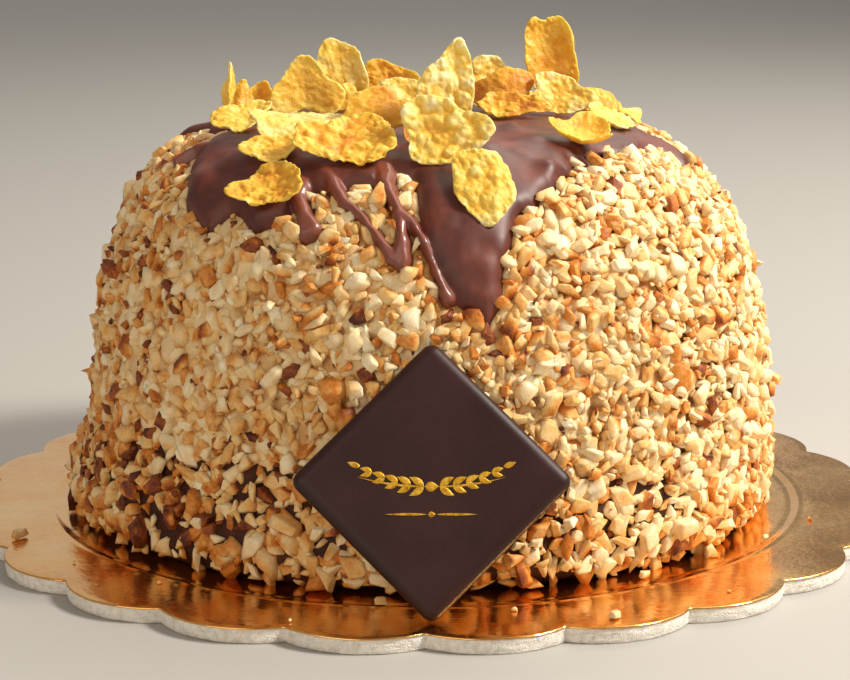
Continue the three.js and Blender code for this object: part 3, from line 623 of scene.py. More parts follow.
def chip_shape():
    """The corners and faces of a box with its edges cut off, and each corner's own flat side.

    A corner lies full out along one axis and is drawn in along the other two, so there are 24:
    8 for each axis in turn, numbered by their signs along x, y and z as the digits 4, 2 and 1.
    The faces are the box's 6 sides, 12 strips along its edges and 8 triangles at its corners.
    """
    signs = np.tile(BOX_CORNERS, (3, 1))
    own_axis = np.repeat(np.eye(3, dtype=bool), 8, axis=0)
    full_out, drawn_in = np.where(own_axis, signs, 0), np.where(own_axis, 0, signs)
    digits = (4, 2, 1)
    quads, side_of = [], np.zeros(CHIP_CORNERS, int)
    for axis in range(3):
        one, two = (digits[k] for k in range(3) if k != axis)
        for sign in (0, 1):
            first = 8 * axis + sign * digits[axis]
            side = [first, first + one, first + one + two, first + two]
            side_of[side] = len(quads)
            quads.append(side)
    for axis in range(3):
        one, two = (k for k in range(3) if k != axis)
        for a, b in np.ndindex(2, 2):
            ends = [8 * k + a * digits[one] + b * digits[two] for k in (one, two)]
            quads.append([ends[0], ends[0] + digits[axis], ends[1] + digits[axis], ends[1]])
    triangles = [[8 * axis + k for axis in range(3)] for k in range(8)]
    points = full_out + CHIP_CORNER_CUT * drawn_in

    def outwards(block):
        block = np.array(block)
        edge = points[block[:, 1]] - points[block[:, 0]]
        across = np.cross(edge, points[block[:, 2]] - points[block[:, 0]])
        inward = (across * points[block].mean(axis=1)).sum(axis=-1) < 0
        block[inward] = block[inward][:, ::-1]
        return block

    return full_out, drawn_in, outwards(quads), outwards(triangles), side_of


CHIP_OUT, CHIP_IN, CHIP_QUADS, CHIP_TRIANGLES, CHIP_SIDE = chip_shape()


def turns_about(axis, angle):
    """Matrices that turn about one axis, 0 for x to 2 for z."""
    one, two = (axis + 1) % 3, (axis + 2) % 3
    turns = np.zeros((len(angle), 3, 3))
    turns[:, axis, axis] = 1
    turns[:, one, one] = turns[:, two, two] = np.cos(angle)
    turns[:, two, one] = np.sin(angle)
    turns[:, one, two] = -np.sin(angle)
    return turns


def nut_chips(centres, axes, lengths, tilt, coated, draw):
    """Chopped pieces at the centres: points, normals and how far each point is scorched, 0 to 1.

    Each is a box with unevenly cut edges, its eight corners pulled about at random, its far end
    and top drawn in and its sides slanted, then turned on the spot, tipped and set on the dome's
    own axes. Its normals lie between those of its flat sides and those of a round pebble, nearer
    to the pebble's where it is coated. Scorch rises from one end to the other, which may be any.
    """
    count = len(centres)
    chamfer = draw.uniform(0.12, 0.6, (count, CHIP_CORNERS, 1)) + 0.04 * coated[:, None, None]
    shape = CHIP_OUT + (1 - chamfer) * CHIP_IN
    weights = np.prod((1 + shape[:, :, None, :] * BOX_CORNERS) / 2, axis=-1)
    corners = BOX_CORNERS + draw.uniform(-0.38, 0.38, (count, 8, 3))
    end = draw.uniform(0.25, 1.0, (count, 1, 1))
    top = draw.uniform(0.4, 1.0, (count, 1, 1))
    slant = draw.uniform(-0.35, 0.35, (count, 1))
    corners[:, :, 1:] *= np.where(BOX_CORNERS[:, :1] > 0, end, 1)
    corners[:, :, :2] *= np.where(BOX_CORNERS[:, 2:] > 0, top, 1)
    corners[:, :, 0] += slant * BOX_CORNERS[:, 1]
    shape = weights @ corners
    width, depth = draw.uniform(0.5, 0.95, count), draw.uniform(0.32, 0.7, count)
    half = np.stack([lengths, lengths * width, lengths * depth], axis=-1) / 2
    burnt_end = unit(draw.normal(0, 1, (count, 3, 1)), axis=1)
    scorch = smooth_step(-0.2, 1.2, (shape @ burnt_end)[..., 0])
    shape = shape * half[:, None, :]
    spin, lean_to = (draw.uniform(0, TURN, count) for _ in range(2))
    tip = tilt * draw.normal(0, 1, count)
    turn = axes @ turns_about(2, lean_to) @ turns_about(0, tip) @ turns_about(2, spin)
    points = centres[:, None, :] + shape @ turn.transpose(0, 2, 1)
    sides = points[:, CHIP_QUADS[:6]]
    flat = unit(np.cross(sides[:, :, 2] - sides[:, :, 0], sides[:, :, 3] - sides[:, :, 1]))
    round_normals = unit((shape / half[:, None, :] ** 2) @ turn.transpose(0, 2, 1))
    soft = draw.uniform(0.05, 0.55, (count, 1, 1)) + 0.15 * coated[:, None, None]
    normals = unit((1 - soft) * flat[:, CHIP_SIDE] + soft * round_normals)
    return points, normals, scorch


def chip_faces(count):
    first = np.arange(count)[:, None, None] * CHIP_CORNERS
    return [(CHIP_QUADS + first).reshape(-1, 4), (CHIP_TRIANGLES + first).reshape(-1, 3)]


def scattered(spacing, from_reach, to_reach, draw):
    """Azimuths and reaches of places a spacing apart, in staggered rings, each moved a little."""
    azimuths, reaches = [], []
    for row, reach in enumerate(np.arange(from_reach, to_reach, spacing * 0.87)):
        count = int(TURN * np.interp(reach, REACHES, RADII) / spacing)
        shift = 0.5 * (row % 2) + draw.uniform(-0.4, 0.4, count)
        azimuths.append(TURN * (np.arange(count) + shift) / count)
        reaches.append(reach + spacing * draw.uniform(-0.4, 0.4, count))
    return np.concatenate(azimuths) % TURN, np.concatenate(reaches)


# ---- poured chocolate ----


def glaze_edge_reach(degrees):
    """How far down the glaze reaches: eased from each tip or valley to the next."""
    knots = np.array(GLAZE_EDGE, float)
    knots = np.concatenate([knots[-1:] - [360, 0], knots, knots[:1] + [360, 0]])
    degrees = (np.asarray(degrees) + 180) % 360 - 180
    after = np.clip(np.searchsorted(knots[:, 0], degrees), 1, len(knots) - 1)
    start, end = knots[after - 1], knots[after]
    t = smooth_step(start[..., 0], end[..., 0], degrees)
    return start[..., 1] + (end[..., 1] - start[..., 1]) * t


def least_distance(points, marks):
    """From each point to the nearest mark, worked out in blocks."""
    flat = points.reshape(-1, 3).astype(np.float32)
    marks = marks.astype(np.float32)
    mark_squares = (marks**2).sum(axis=1)
    least = []
    for block in np.array_split(flat, max(1, len(flat) // 4000)):
        squares = (block**2).sum(axis=1)[:, None] + mark_squares - 2 * block @ marks.T
        least.append(np.sqrt(np.clip(squares.min(axis=1), 0, None)))
    return np.concatenate(least).reshape(points.shape[:-1])


def path_distance(points, path):
    """From each point to a line through the path's points on the dome, and how far along it."""
    marks = on_dome(np.radians([p[0] for p in path]), np.array([p[1] for p in path], float), 0)
    least, along = np.full(points.shape[:-1], 1e9), np.zeros(points.shape[:-1])
    for number, (start, end) in enumerate(zip(marks[:-1], marks[1:])):
        span = end - start
        share = np.clip(((points - start) @ span) / (span @ span), 0, 1)
        distance = np.linalg.norm(points - start - share[..., None] * span, axis=-1)
        along = np.where(distance < least, (number + share) / (len(marks) - 1), along)
        least = np.minimum(least, distance)
    return least, along


def smooth_larger(one, two, blend):
    """The larger of two numbers, rounded off where they are close."""
    closeness = np.clip(blend - np.abs(one - two), 0, None) / blend
    return np.maximum(one, two) + closeness**2 * blend / 4


def edge_marks():
    """Points on the dome, evenly along the glaze's edge."""
    degrees = np.concatenate([np.arange(-75, 55, 0.08), np.arange(55, 285, 0.3)])
    marks = on_dome(np.radians(degrees), glaze_edge_reach(degrees), 0)
    gaps = np.linalg.norm(np.diff(marks, axis=0), axis=1)
    lengths = np.concatenate([[0], np.cumsum(gaps)])
    even = np.arange(0, lengths[-1], 0.2)
    return np.stack([np.interp(even, lengths, marks[:, axis]) for axis in range(3)], axis=-1)


EDGE_MARKS = edge_marks()


def glaze_depth(azimuth, reach):
    """How far inside the glaze's edge a place is, in mm and below 0 outside it, and how threadlike.

    The cap counts from its own edge, and each thread from its uneven sides, wider where it leaves
    the cap and towards its drop, counted up faster so that it stands as tall.
    """
    places = on_dome(azimuth, reach, 0)
    wobble = 0.45 * soft_noise(places, 2.4, 97)
    inside = reach < glaze_edge_reach(np.degrees(azimuth))
    cap = least_distance(places, EDGE_MARKS) * np.where(inside, 1, -1)
    threads = np.full(cap.shape, -50.0)
    for width, path in GLAZE_THREADS:
        distance, along = path_distance(places, path)
        swell = 0.5 + (THREAD_DROP - 0.5) * smooth_step(0.75, 1, along)
        swell += THREAD_FLARE * smooth_step(0.4, 0, along)
        depth = THREAD_STEEPNESS * (width * swell + wobble - distance)
        threads = np.maximum(threads, depth)
    return smooth_larger(cap, threads, 1.2), smooth_step(-1, 3, threads - cap)


def glaze_envelope(degrees):
    """A smooth line a little past the glaze's lowest edge nearby, where its mesh can end."""
    reach = glaze_edge_reach(degrees)
    for thread_degrees, thread_reach in (place for _, path in GLAZE_THREADS for place in path):
        close = np.abs(degrees - thread_degrees) < 3
        reach = np.where(close, np.maximum(reach, thread_reach + 2), reach)

    def neighbours(values, each_way=16):
        padded = np.concatenate([values[-each_way:], values, values[:each_way]])
        return np.lib.stride_tricks.sliding_window_view(padded, 2 * each_way + 1)

    return neighbours(neighbours(reach).max(axis=1)).mean(axis=1) + GLAZE_MARGIN


def make_glaze():
    """Chocolate as a skin over the dome: round-edged where it ends, lumpy where nuts lie below.

    A grid of azimuths, closer in front, and rows from the crown to just past the edge. What its
    rise still lacks falls with the cube of the way in, and outside the edge it dives into the cream.
    """
    degrees = np.concatenate([np.arange(-70, 50, 0.3), np.arange(50, 290, 0.6)])
    envelope = glaze_envelope((degrees + 180) % 360 - 180)
    crown_rows = np.linspace(0.06, 0.92, 11)[:, None] * np.full(len(degrees), GLAZE_CROWN)
    share = np.linspace(0, 1, 104)[:, None]
    edge_rows = GLAZE_CROWN + (envelope - GLAZE_CROWN) * share
    reach = np.concatenate([crown_rows, edge_rows])[::-1]
    azimuth = np.broadcast_to(np.radians(degrees), reach.shape)
    depth, threadlike = glaze_depth(azimuth, reach)
    places = on_dome(azimuth, reach, 0)
    bead = np.clip(depth / GLAZE_BEAD, 0, 1)
    rise = GLAZE_BASE + (GLAZE_TOP - GLAZE_BASE) * (1 - (1 - bead) ** 3)
    relief = 0.5 * soft_noise(places, 9, 21) + 0.32 * soft_noise(places, 4.6, 22)
    for lump_azimuth, lump_reach, width, height in GLAZE_LUMPS:
        lump = on_dome(math.radians(lump_azimuth), float(lump_reach), 0)
        away = np.linalg.norm(places - lump, axis=-1) / width
        relief = relief + height * np.exp(-(away**2))
    rise = rise + relief * smooth_step(0, 3, depth)
    rise = np.where(depth < 0, GLAZE_BASE + np.clip(1.8 * depth, -3, 0), rise)
    rings = on_dome(azimuth, reach, rise)
    points, faces = turned_shell(rings, rings[0].mean(axis=0), on_dome(0.0, 0.0, GLAZE_TOP))
    thin = np.concatenate([threadlike.ravel(), [0, 0]])
    make_piece("poured_glaze", points, faces, "poured_glaze",
               ["chocolate_glaze"], {"thin": thin})


# ---- cake cores ----


def make_layer():
    """The dark layer: rings of the dome's outline from the board up to its wavy top."""
    azimuth = np.linspace(0, TURN, 480, endpoint=False)
    top = layer_reach(azimuth)
    share = np.linspace(0, 1, 40)[:, None]
    reach = DOME_LENGTH + (top - DOME_LENGTH) * share
    azimuth = np.broadcast_to(azimuth, reach.shape)
    places = on_dome(azimuth, reach, 0)
    rise = 0.6 * bead_caps(places, 5, 34) - NUT_COAT + 0.4 * layered_noise(places, 4, 31)
    rings = on_dome(azimuth, reach, rise)
    rings[0, :, 2] = BOARD_THICKNESS
    rings[-1, :, 2] = BOARD_THICKNESS + layer_height(azimuth[0])
    points, faces = turned_shell(rings, rings[0].mean(axis=0), rings[-1].mean(axis=0))
    make_piece("dark_layer_cake", points, faces, "dark_layer", ["chocolate_base"])


def cream_thickness(azimuth):
    """How far the cream fills in between the nuts, 0 to 1: most in front and to the left."""
    return smooth_step(-0.1, 0.75, np.cos(azimuth + 0.6))


def make_dome():
    """The nut cream: rings of the dome's outline from over the dark layer's edge to the crown.

    Its rise adds up its level, its thickness, lumps over nuts and noise, less a step down under the
    glaze. The value it hands its finish is painted shade: least on the lumps and most between them,
    where shade falls, and mottled at random. Its lowest rows hang over the dark layer by an uneven
    amount and run in under its surface.
    """
    azimuth = np.linspace(0, TURN, 660, endpoint=False)
    round_the_edge = stacked(30 * np.cos(azimuth), 30 * np.sin(azimuth), 0.0)
    hang = CREAM_HANG + 1.3 * soft_noise(round_the_edge, 1.6, 48)
    start = layer_reach(azimuth) + hang
    share = np.concatenate([np.linspace(0, 0.62, 136), np.linspace(0.65, 0.98, 8)])[:, None]
    reach = start * (1 - share)
    azimuth = np.broadcast_to(azimuth, reach.shape)
    places = on_dome(azimuth, reach, 0)
    nuts_below = bead_caps(places, 4.4, 46, 0.4)
    thickness = cream_thickness(azimuth)
    rise = CREAM_LEVEL + CREAM_FILL * thickness + CREAM_LUMPS * nuts_below
    rise = rise + 0.45 * soft_noise(places, 11, 41) + 0.25 * layered_noise(places, 3, 42)
    under_glaze, _ = glaze_depth(azimuth, reach)
    rise = rise - CREAM_UNDER_GLAZE * smooth_step(-0.6, 1.2, under_glaze)
    rise = rise - CREAM_TURN_IN * smooth_step(1.6, 0, start - reach) ** 2
    # Painted shade: the cream is darkest between the lumps over nuts below; it is a little paler
    # where it lies thick, and mottled at random.
    toast_and_shade = 0.52 - 0.5 * nuts_below - 0.1 * thickness + 0.16 * soft_noise(places, 7, 49)
    points, faces = turned_shell(
        on_dome(azimuth, reach, rise), CREAM_MIDDLE, on_dome(0.0, 0.0, -NUT_COAT)
    )
    toast_and_shade = np.concatenate([toast_and_shade.ravel(), [0, 0]])
    make_piece("cream_dome", points, faces, "nut_cream", ["gelato_dome"],
               {"toast_and_shade": np.clip(toast_and_shade, 0, 1)})


def nut_lengths(count, draw):
    """Lengths spread evenly about the usual one as shares of it, within the limits."""
    spread = draw.normal(0, 0.26, count)
    return np.clip(NUT_LENGTH * np.exp(spread), NUT_SHORTEST, NUT_LONGEST)


def clear_of_plaque(places):
    """Whether places lie outside the plaque's slab and some room about it."""
    local = np.abs((places - PLAQUE_MIDDLE) @ PLAQUE_AXES)
    beside = local[..., 0] + local[..., 1] >= PLAQUE_SIDE / math.sqrt(2) + PLAQUE_ROOM
    return beside | (local[..., 2] >= PLAQUE_THICKNESS / 2 + PLAQUE_ROOM)


def make_nut_coat():
    """Three coats of chips over cream and dark layer: bedded in them, loose on top, and grit.

    How warm a chip's colour is sets its kind, and so the piece that it joins. That warmth holds
    painted shade, browner to the left, and painted light, paler to the right.
    """
    draw = np.random.default_rng(1204)
    batches = []
    for coat in (dict(zip(COAT_FIELDS, fields)) for fields in NUT_COATS):
        azimuth, reach = scattered(coat["spacing"], NUT_FIRST_REACH, DOME_LENGTH - 2, draw)
        on_layer = smooth_step(-2, 1, reach - layer_reach(azimuth))
        lengths = nut_lengths(len(azimuth), draw) * coat["size"] * (1 + 0.06 * on_layer)
        rise = coat["rise"] + coat["spread"] * draw.normal(0, 1, len(azimuth))
        pressed = NUT_PRESSED_LEFT * np.sin(azimuth) * (1 - on_layer)
        rise = rise - 0.06 * (lengths - NUT_LENGTH) + pressed
        centres = on_dome(azimuth, reach, rise)
        depth, _ = glaze_depth(azimuth, reach)
        above_board = centres[:, 2] > BOARD_THICKNESS + 0.3 * lengths
        keep = (depth < 0.2) & above_board
        keep &= clear_of_plaque(centres)
        on_cream, on_bare = coat["missing"]
        patchy = (0.4 + 0.6 * smooth_step(-0.5, 0.5, soft_noise(centres, 12, 52))) * on_layer
        patchy = patchy * smooth_step(0.9, -0.1, np.sin(azimuth))
        keep &= draw.uniform(0, 1, len(azimuth)) > on_cream + (on_bare - on_cream) * patchy
        azimuth, reach, centres, lengths, on_layer = (
            values[keep] for values in (azimuth, reach, centres, lengths, on_layer)
        )
        axes = dome_axes(azimuth, reach)
        tilt = coat["tilt"] * (1 - 0.55 * on_layer)
        chips = nut_chips(centres, axes, lengths, tilt, 1 - on_layer, draw)
        to_right = np.sin(azimuth)
        warmth = coat["warmth"] + 0.4 * soft_noise(centres, 22, 51)
        warmth += NUT_WARMER_LOW * on_layer * (1 - to_right) / 2
        # Painted shade to the left and painted light to the right, by the azimuth's sine.
        warmth += draw.normal(0, 1, len(centres)) - NUT_PAINTED_SHADE_LEFT * to_right
        warmth -= NUT_PAINTED_LIGHT_RIGHT * np.clip(to_right, 0, 1) * (1 - on_layer)
        batches.append((*chips, np.digitize(warmth, NUT_KIND_BREAKS)))
    points, normals, scorch, kind = (np.concatenate(parts) for parts in zip(*batches))
    for number, (name, tone, most_scorch) in enumerate(NUT_KINDS):
        chosen = kind == number
        count = int(chosen.sum())
        toast_and_shade = tone + 0.05 * draw.normal(0, 1, (count, 1))
        toast_and_shade = toast_and_shade + most_scorch * draw.uniform(0, 1, (count, 1)) ** 1.5 * scorch[chosen]
        toast_and_shade = toast_and_shade + 0.03 * draw.normal(0, 1, (count, CHIP_CORNERS))
        make_piece(name, points[chosen].reshape(-1, 3), chip_faces(count), name,
                   ["gelato_dome", "chocolate_base"], {"toast_and_shade": np.clip(toast_and_shade, 0, 1)},
                   normals[chosen].reshape(-1, 3))


# ---- plaque ----


def rounded_square(inset, count):
    """Points round a square with round corners, drawn in by inset, from the right corner on.

    Each quarter is half a side, a quarter circle and half a side, spaced evenly by number.
    """
    half = PLAQUE_SIDE / 2 - inset
    corner = max(PLAQUE_CORNER - inset, 0.15)
    quarter = count // 4
    bend = quarter // 2
    flat = quarter - bend
    straight = half - corner
    angle = np.linspace(0, math.pi / 2, bend, endpoint=False)
    arc = np.stack([straight + corner * np.cos(angle), straight + corner * np.sin(angle)], -1)
    along = straight - 2 * straight * np.arange(flat) / flat
    side = np.stack([along, np.full(flat, half)], axis=-1)
    first = np.concatenate([arc, side])
    return np.concatenate([first @ turned_level(turn * math.pi / 2) for turn in range(4)])


def plaque_rings(around=160):
    """The plaque's section from the middle of its back, round its edge, to its face's middle."""
    half = PLAQUE_THICKNESS / 2
    bends = np.linspace(0, math.pi / 2, 9)
    back_edge = [
        (PLAQUE_EDGE_INSET * (1 - math.sin(b)), -half + PLAQUE_EDGE_ROUND * (1 - math.cos(b)))
        for b in bends
    ]
    front_edge = [(inset, -height) for inset, height in back_edge[::-1]]
    faces = [PLAQUE_EDGE_INSET + (PLAQUE_SIDE / 2 - 1) * k / 17 for k in range(1, 16)]
    profile = [(inset, -half) for inset in faces[::-1]] + back_edge + front_edge
    profile += [(inset, half) for inset in faces]
    return np.stack([
        np.column_stack([rounded_square(inset, around), np.full(around, height)])
        for inset, height in profile
    ])


def make_plaque():
    """A moulded chocolate square standing on a corner: soft edges and a faintly wavy face."""
    rings = plaque_rings()
    wave = 0.05 * soft_noise(rings, 14, 61) + 0.02 * soft_noise(rings, 5, 62)
    rings[..., 2] += np.where(rings[..., 2] > 0, wave, 0)
    rings[..., :2] = rings[..., :2] @ turned_level(math.radians(45))
    placed = PLAQUE_MIDDLE + rings @ PLAQUE_AXES.T
    points, faces = turned_shell(placed, placed[0].mean(axis=0), placed[-1].mean(axis=0))
    make_piece("moulded_plaque", points, faces, "plaque_chocolate",
               ["chocolate_plaque"])


def leaf(root, length, width, angle, bend):
    """A leaf in the plaque's plane: a spine that bends, with sides that swell and meet again."""
    t = np.linspace(0, 1, 13)
    s = np.linspace(-1, 1, 7)
    heading = angle + bend * t
    step = length / (len(t) - 1)
    spine_x = root[0] + np.concatenate([[0], np.cumsum(np.cos(heading[:-1]) * step)])
    spine_y = root[1] + np.concatenate([[0], np.cumsum(np.sin(heading[:-1]) * step)])
    half = width / 2 * np.sin(math.pi * t**0.8) + 0.02
    x = spine_x[:, None] - np.sin(heading)[:, None] * half[:, None] * s
    y = spine_y[:, None] + np.cos(heading)[:, None] * half[:, None] * s
    height = np.sqrt(1 - s**2) * np.sin(math.pi * np.clip(t, 0.04, 0.96))[:, None] ** 0.5
    return stacked(x, y, height)


def sprig():
    """A sprig laid level: a stem each way from the middle, with paired leaves, a bud and a line."""
    blades = []
    for side in (1, -1):
        for k in range(5):
            x = 1.6 + 2.5 * k
            y = 0.021 * x**2
            for up in (1, -1):
                angle = up * math.radians(46 - 4 * k)
                blades.append((side, leaf((x, y), 3.3 - 0.22 * k, 1.35 - 0.08 * k, angle, -up * 0.5)))
        blades.append((side, leaf((0.9, 0.0), 13.6, 0.42, 0.0, 0.3)))
        blades.append((side, leaf((13.9, 3.9), 2.6, 1.1, 0.25, 0.2)))
        blades.append((side, leaf((1.0, -5.4), 8.0, 0.5, 0.0, 0.0)))
    blades.append((1, leaf((-1.3, 0.0), 2.6, 1.9, 0.0, 0.0)))
    blades.append((1, leaf((-0.7, -5.4), 1.4, 1.1, 0.0, 0.0)))
    return blades


def make_sprig():
    """The gilded ornament on the plaque's face, a shallow relief of leaves."""
    points, faces, first = [], [], 0
    for side, blade in sprig():
        rows, columns = blade.shape[:2]
        flat = blade.reshape(-1, 3) * [side * SPRIG_SCALE, SPRIG_SCALE, SPRIG_RELIEF]
        flat += [0, -SPRIG_DOWN, PLAQUE_THICKNESS / 2 + SPRIG_LIFT]
        block = sheet_faces(rows, columns, first)
        faces.append(block[:, ::-1] if side > 0 else block)
        points.append(flat)
        first += rows * columns
    placed = PLAQUE_MIDDLE + np.concatenate(points) @ PLAQUE_AXES.T
    make_piece("gilt_sprig", placed, [np.concatenate(faces)], "gilt_print")


# ---- cornflakes ----


def settled_draws(seed, count):
    """Repeatable numbers from 0 to 1, by the bit mixing that shapes the solid flakes too."""
    mask, state, found = 0xFFFFFFFF, seed, []
    for _ in range(count):
        state = (state + 0x6D2B79F5) & mask
        mixed = ((state ^ (state >> 15)) * (1 | state)) & mask
        mixed = ((mixed + (((mixed ^ (mixed >> 7)) * (61 | mixed)) & mask)) & mask) ^ mixed
        found.append(((mixed ^ (mixed >> 14)) & mask) / 2**32)
    return found


def flake_sheet(flake, number, x, y):
    """Across, along and lift over a flake's unit disc, before any detail.

    The disc's rim is pulled in and out by waves of two, three and five, and the sheet rises
    with the square of the way across and along, with one ripple over it.
    """
    turn2, turn5, wave = (TURN * value for value in settled_draws(100 + number, 3))
    drawn_to, drawn_by = math.radians(flake["point"][0]), flake["point"][1]
    angle = np.arctan2(y, x)
    outline = 1 + FLAKE_OVAL * np.cos(2 * angle + turn2)
    outline += drawn_by * np.cos(3 * (angle - drawn_to))
    outline += FLAKE_RAGGED * np.cos(5 * angle + turn5)
    across, along = x * outline, y * outline
    lift = flake["rise"][0] * across**2 + flake["rise"][1] * along**2
    return across, along, lift + FLAKE_RIPPLE * np.sin(3 * across + wave)


def flake_turn(flake):
    """Spun in its own plane, then tilted, then turned to face its azimuth."""
    spin, tilt, facing = (
        turns_about(axis, np.radians([flake[label]]))[0]
        for label, axis in (("spin", 2), ("tilt", 0), ("facing", 2))
    )
    return facing @ tilt @ spin


def flake_place(flake, number, node):
    """Where the flake's origin lies: over its spot in plan, at the height its node has."""
    around = math.pi + TURN * np.arange(10) / 10
    samples = []
    for polar in np.linspace(0, math.pi, 5):
        ring, height = math.sin(polar), math.cos(polar)
        across, along, lift = flake_sheet(flake, number, ring * np.cos(around), ring * np.sin(around))
        height = 0.0 if abs(height) < 1e-9 else height
        lift = lift + FLAKE_THICKNESS / 2 * math.copysign(math.sqrt(abs(height)), height)
        half = np.array(flake["size"]) / 2
        samples.append(stacked(half[0] * across, half[1] * along, lift))
    turned = np.concatenate(samples) @ flake_turn(flake).T
    low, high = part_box(node)
    middle = (low[2] + high[2]) / 2 / MM
    return np.array([*flake["at"], middle - (turned[:, 2].min() + turned[:, 2].max()) / 2])


def make_flake(flake, number):
    """A cornflake: a thin sheet on a square grid drawn to a disc, bubbled, creased and ragged.

    Its face and back are the same sheet moved half the thickness each way, less towards the rim
    where they meet. Bubbles are caps over scattered beads and push both faces the same way.
    """
    node = f"cornflake_{number + 1:02d}"
    steps = FLAKE_STEPS if max(flake["size"]) > FLAKE_SMALL else FLAKE_STEPS_SMALL
    u, v = np.meshgrid(np.linspace(-1, 1, steps), np.linspace(-1, 1, steps), indexing="ij")
    x, y = u * np.sqrt(1 - v**2 / 2), v * np.sqrt(1 - u**2 / 2)
    ring = np.clip(np.hypot(x, y), 0, 1)
    angle = np.arctan2(y, x)
    across, along, lift = flake_sheet(flake, number, x, y)
    half = np.array(flake["size"]) / 2
    flat = stacked(half[0] * across, half[1] * along, 40.0 * number)
    rim = stacked(np.cos(angle), np.sin(angle), 3.0 * number)
    nibbled = 0.06 * soft_noise(rim, 0.7, 74) + 0.045 * soft_noise(rim, 0.35, 71)
    nibbled += 0.025 * soft_noise(rim, 0.11, 72)
    flat[..., :2] *= 1 + (ring**4 * nibbled)[..., None]
    blister = flake["blister"]
    bubble = bead_caps(flat, 3.4, 73)
    small = bead_caps(flat, 1.7, 78)
    crease = layered_noise(flat, 5.5, 83)
    detail = 0.6 * crease + blister * (0.8 * bubble + 0.42 * small) - 0.4 * blister
    detail += 0.16 * soft_noise(flat, 0.9, 87) * (1 + ring**4)
    sheet = lift + detail
    body = np.clip(1 - ring**2, 0, 1) ** 0.25
    body *= 0.75 + 0.35 * soft_noise(flat, 2.4, 88) * ring**2
    thick = FLAKE_THICKNESS / 2 * body
    face, back = (
        stacked(flat[..., 0], flat[..., 1], height).reshape(-1, 3)
        for height in (sheet + thick, sheet - thick)
    )
    toast_and_shade = flake["toast_and_shade"] + 0.12 * crease + 0.1 * soft_noise(flat, 3.4, 89)
    toast_and_shade += blister * (0.12 - 0.2 * bubble - 0.1 * small) - 0.14 * ring**10
    grid = np.arange(steps * steps).reshape(steps, steps)
    inner = np.zeros((steps, steps), bool)
    inner[1:-1, 1:-1] = True
    back_number = grid.copy()
    back_number[inner] = steps * steps + np.arange(int(inner.sum()))
    points = np.concatenate([face, back[inner.ravel()]])
    quads = sheet_faces(steps, steps)
    turn = flake_turn(flake)
    placed = flake_place(flake, number, node) + points @ turn.T
    faces = [quads[:, ::-1], back_number.ravel()[quads]]
    values = {"toast_and_shade": np.clip(np.concatenate([toast_and_shade.ravel(), toast_and_shade[inner]]), 0, 1)}
    name = f"flake_{number + 1:02d}"
    make_piece(name, placed, faces, "corn_flake", [node], values)


# ---- board ----


def board_edge(azimuth):
    """The board's radius: the far side of the lobe's own circle, seen from the board's middle."""
    step = TURN / BOARD_LOBES
    half_chord = BOARD_NOTCH_RADIUS * math.sin(step / 2)
    chord_radius = BOARD_NOTCH_RADIUS * math.cos(step / 2)
    bulge = BOARD_RADIUS - chord_radius
    lobe_radius = (half_chord**2 + bulge**2) / (2 * bulge)
    lobe_centre = BOARD_RADIUS - lobe_radius
    off = (azimuth % step) - step / 2
    return lobe_centre * np.cos(off) + np.sqrt(lobe_radius**2 - (lobe_centre * np.sin(off)) ** 2)


def board_rings(shares, heights, azimuth):
    """Rings at shares of the board's radius, round near the middle and scalloped at the edge."""
    edge = board_edge(azimuth)
    shares, heights = np.asarray(shares)[:, None], np.asarray(heights, float)[:, None]
    scalloped = smooth_step(0.84, 0.97, shares)
    radius = shares * (BOARD_RADIUS + (edge - BOARD_RADIUS) * scalloped)
    return stacked(radius * np.sin(azimuth), -radius * np.cos(azimuth), heights)


def board_azimuths():
    columns = BOARD_LOBES * COLUMNS_PER_LOBE
    return np.arange(columns) * TURN / columns


def make_foil():
    """Gold foil on the board: an embossed ring, slight buckles, and a lip rolled over the rim.

    The ring is a bell-shaped ridge with a groove inside it. The lip is a quarter circle, and its
    hem hangs down unevenly.
    """
    azimuth = board_azimuths()
    outer = np.linspace(1 - FOIL_ROUND / BOARD_RADIUS, 0.86, 30)
    about_ring, inner = np.linspace(0.855, 0.775, 44), np.linspace(0.76, 0.2, 14)
    shares = np.concatenate([outer, about_ring, inner])
    rings = board_rings(shares, np.full(len(shares), BOARD_THICKNESS), azimuth)
    radius = np.hypot(rings[..., 0], rings[..., 1])
    ring = 0.18 * np.exp(-(((radius - EMBOSSED_RING) / 0.7) ** 2))
    ring -= 0.12 * np.exp(-(((radius - EMBOSSED_RING + 1.8) / 0.9) ** 2))
    sink = 0.1 * smooth_step(EMBOSSED_RING + 1, EMBOSSED_RING - 2, radius)
    buckles = 0.12 * soft_noise(rings, 15, 91) + 0.04 * soft_noise(rings, 5, 92)
    fall = 0.12 * smooth_step(0, 2.0, radius - (board_edge(azimuth) - 2.0))
    rings[..., 2] += ring - sink + buckles - fall - 0.05
    bend = np.linspace(0.15, math.pi / 2, 6)[::-1, None]
    lip = np.repeat(rings[:1], len(bend), axis=0)
    lip[..., :2] += unit(rings[0, :, :2]) * FOIL_ROUND * np.sin(bend)[..., None]
    lip[..., 2] -= FOIL_ROUND * (1 - np.cos(bend))
    hem = lip[0].copy()
    hem[:, 2] -= FOIL_LIP * (0.25 + 0.12 * soft_noise(hem, 3, 93))
    rings = np.concatenate([[hem], lip, rings])
    points, faces = turned_shell(rings, [0, 0, BOARD_THICKNESS - 1], [0, 0, BOARD_THICKNESS])
    make_piece("gold_foil", points, faces, "gold_foil", ["cake_board"])


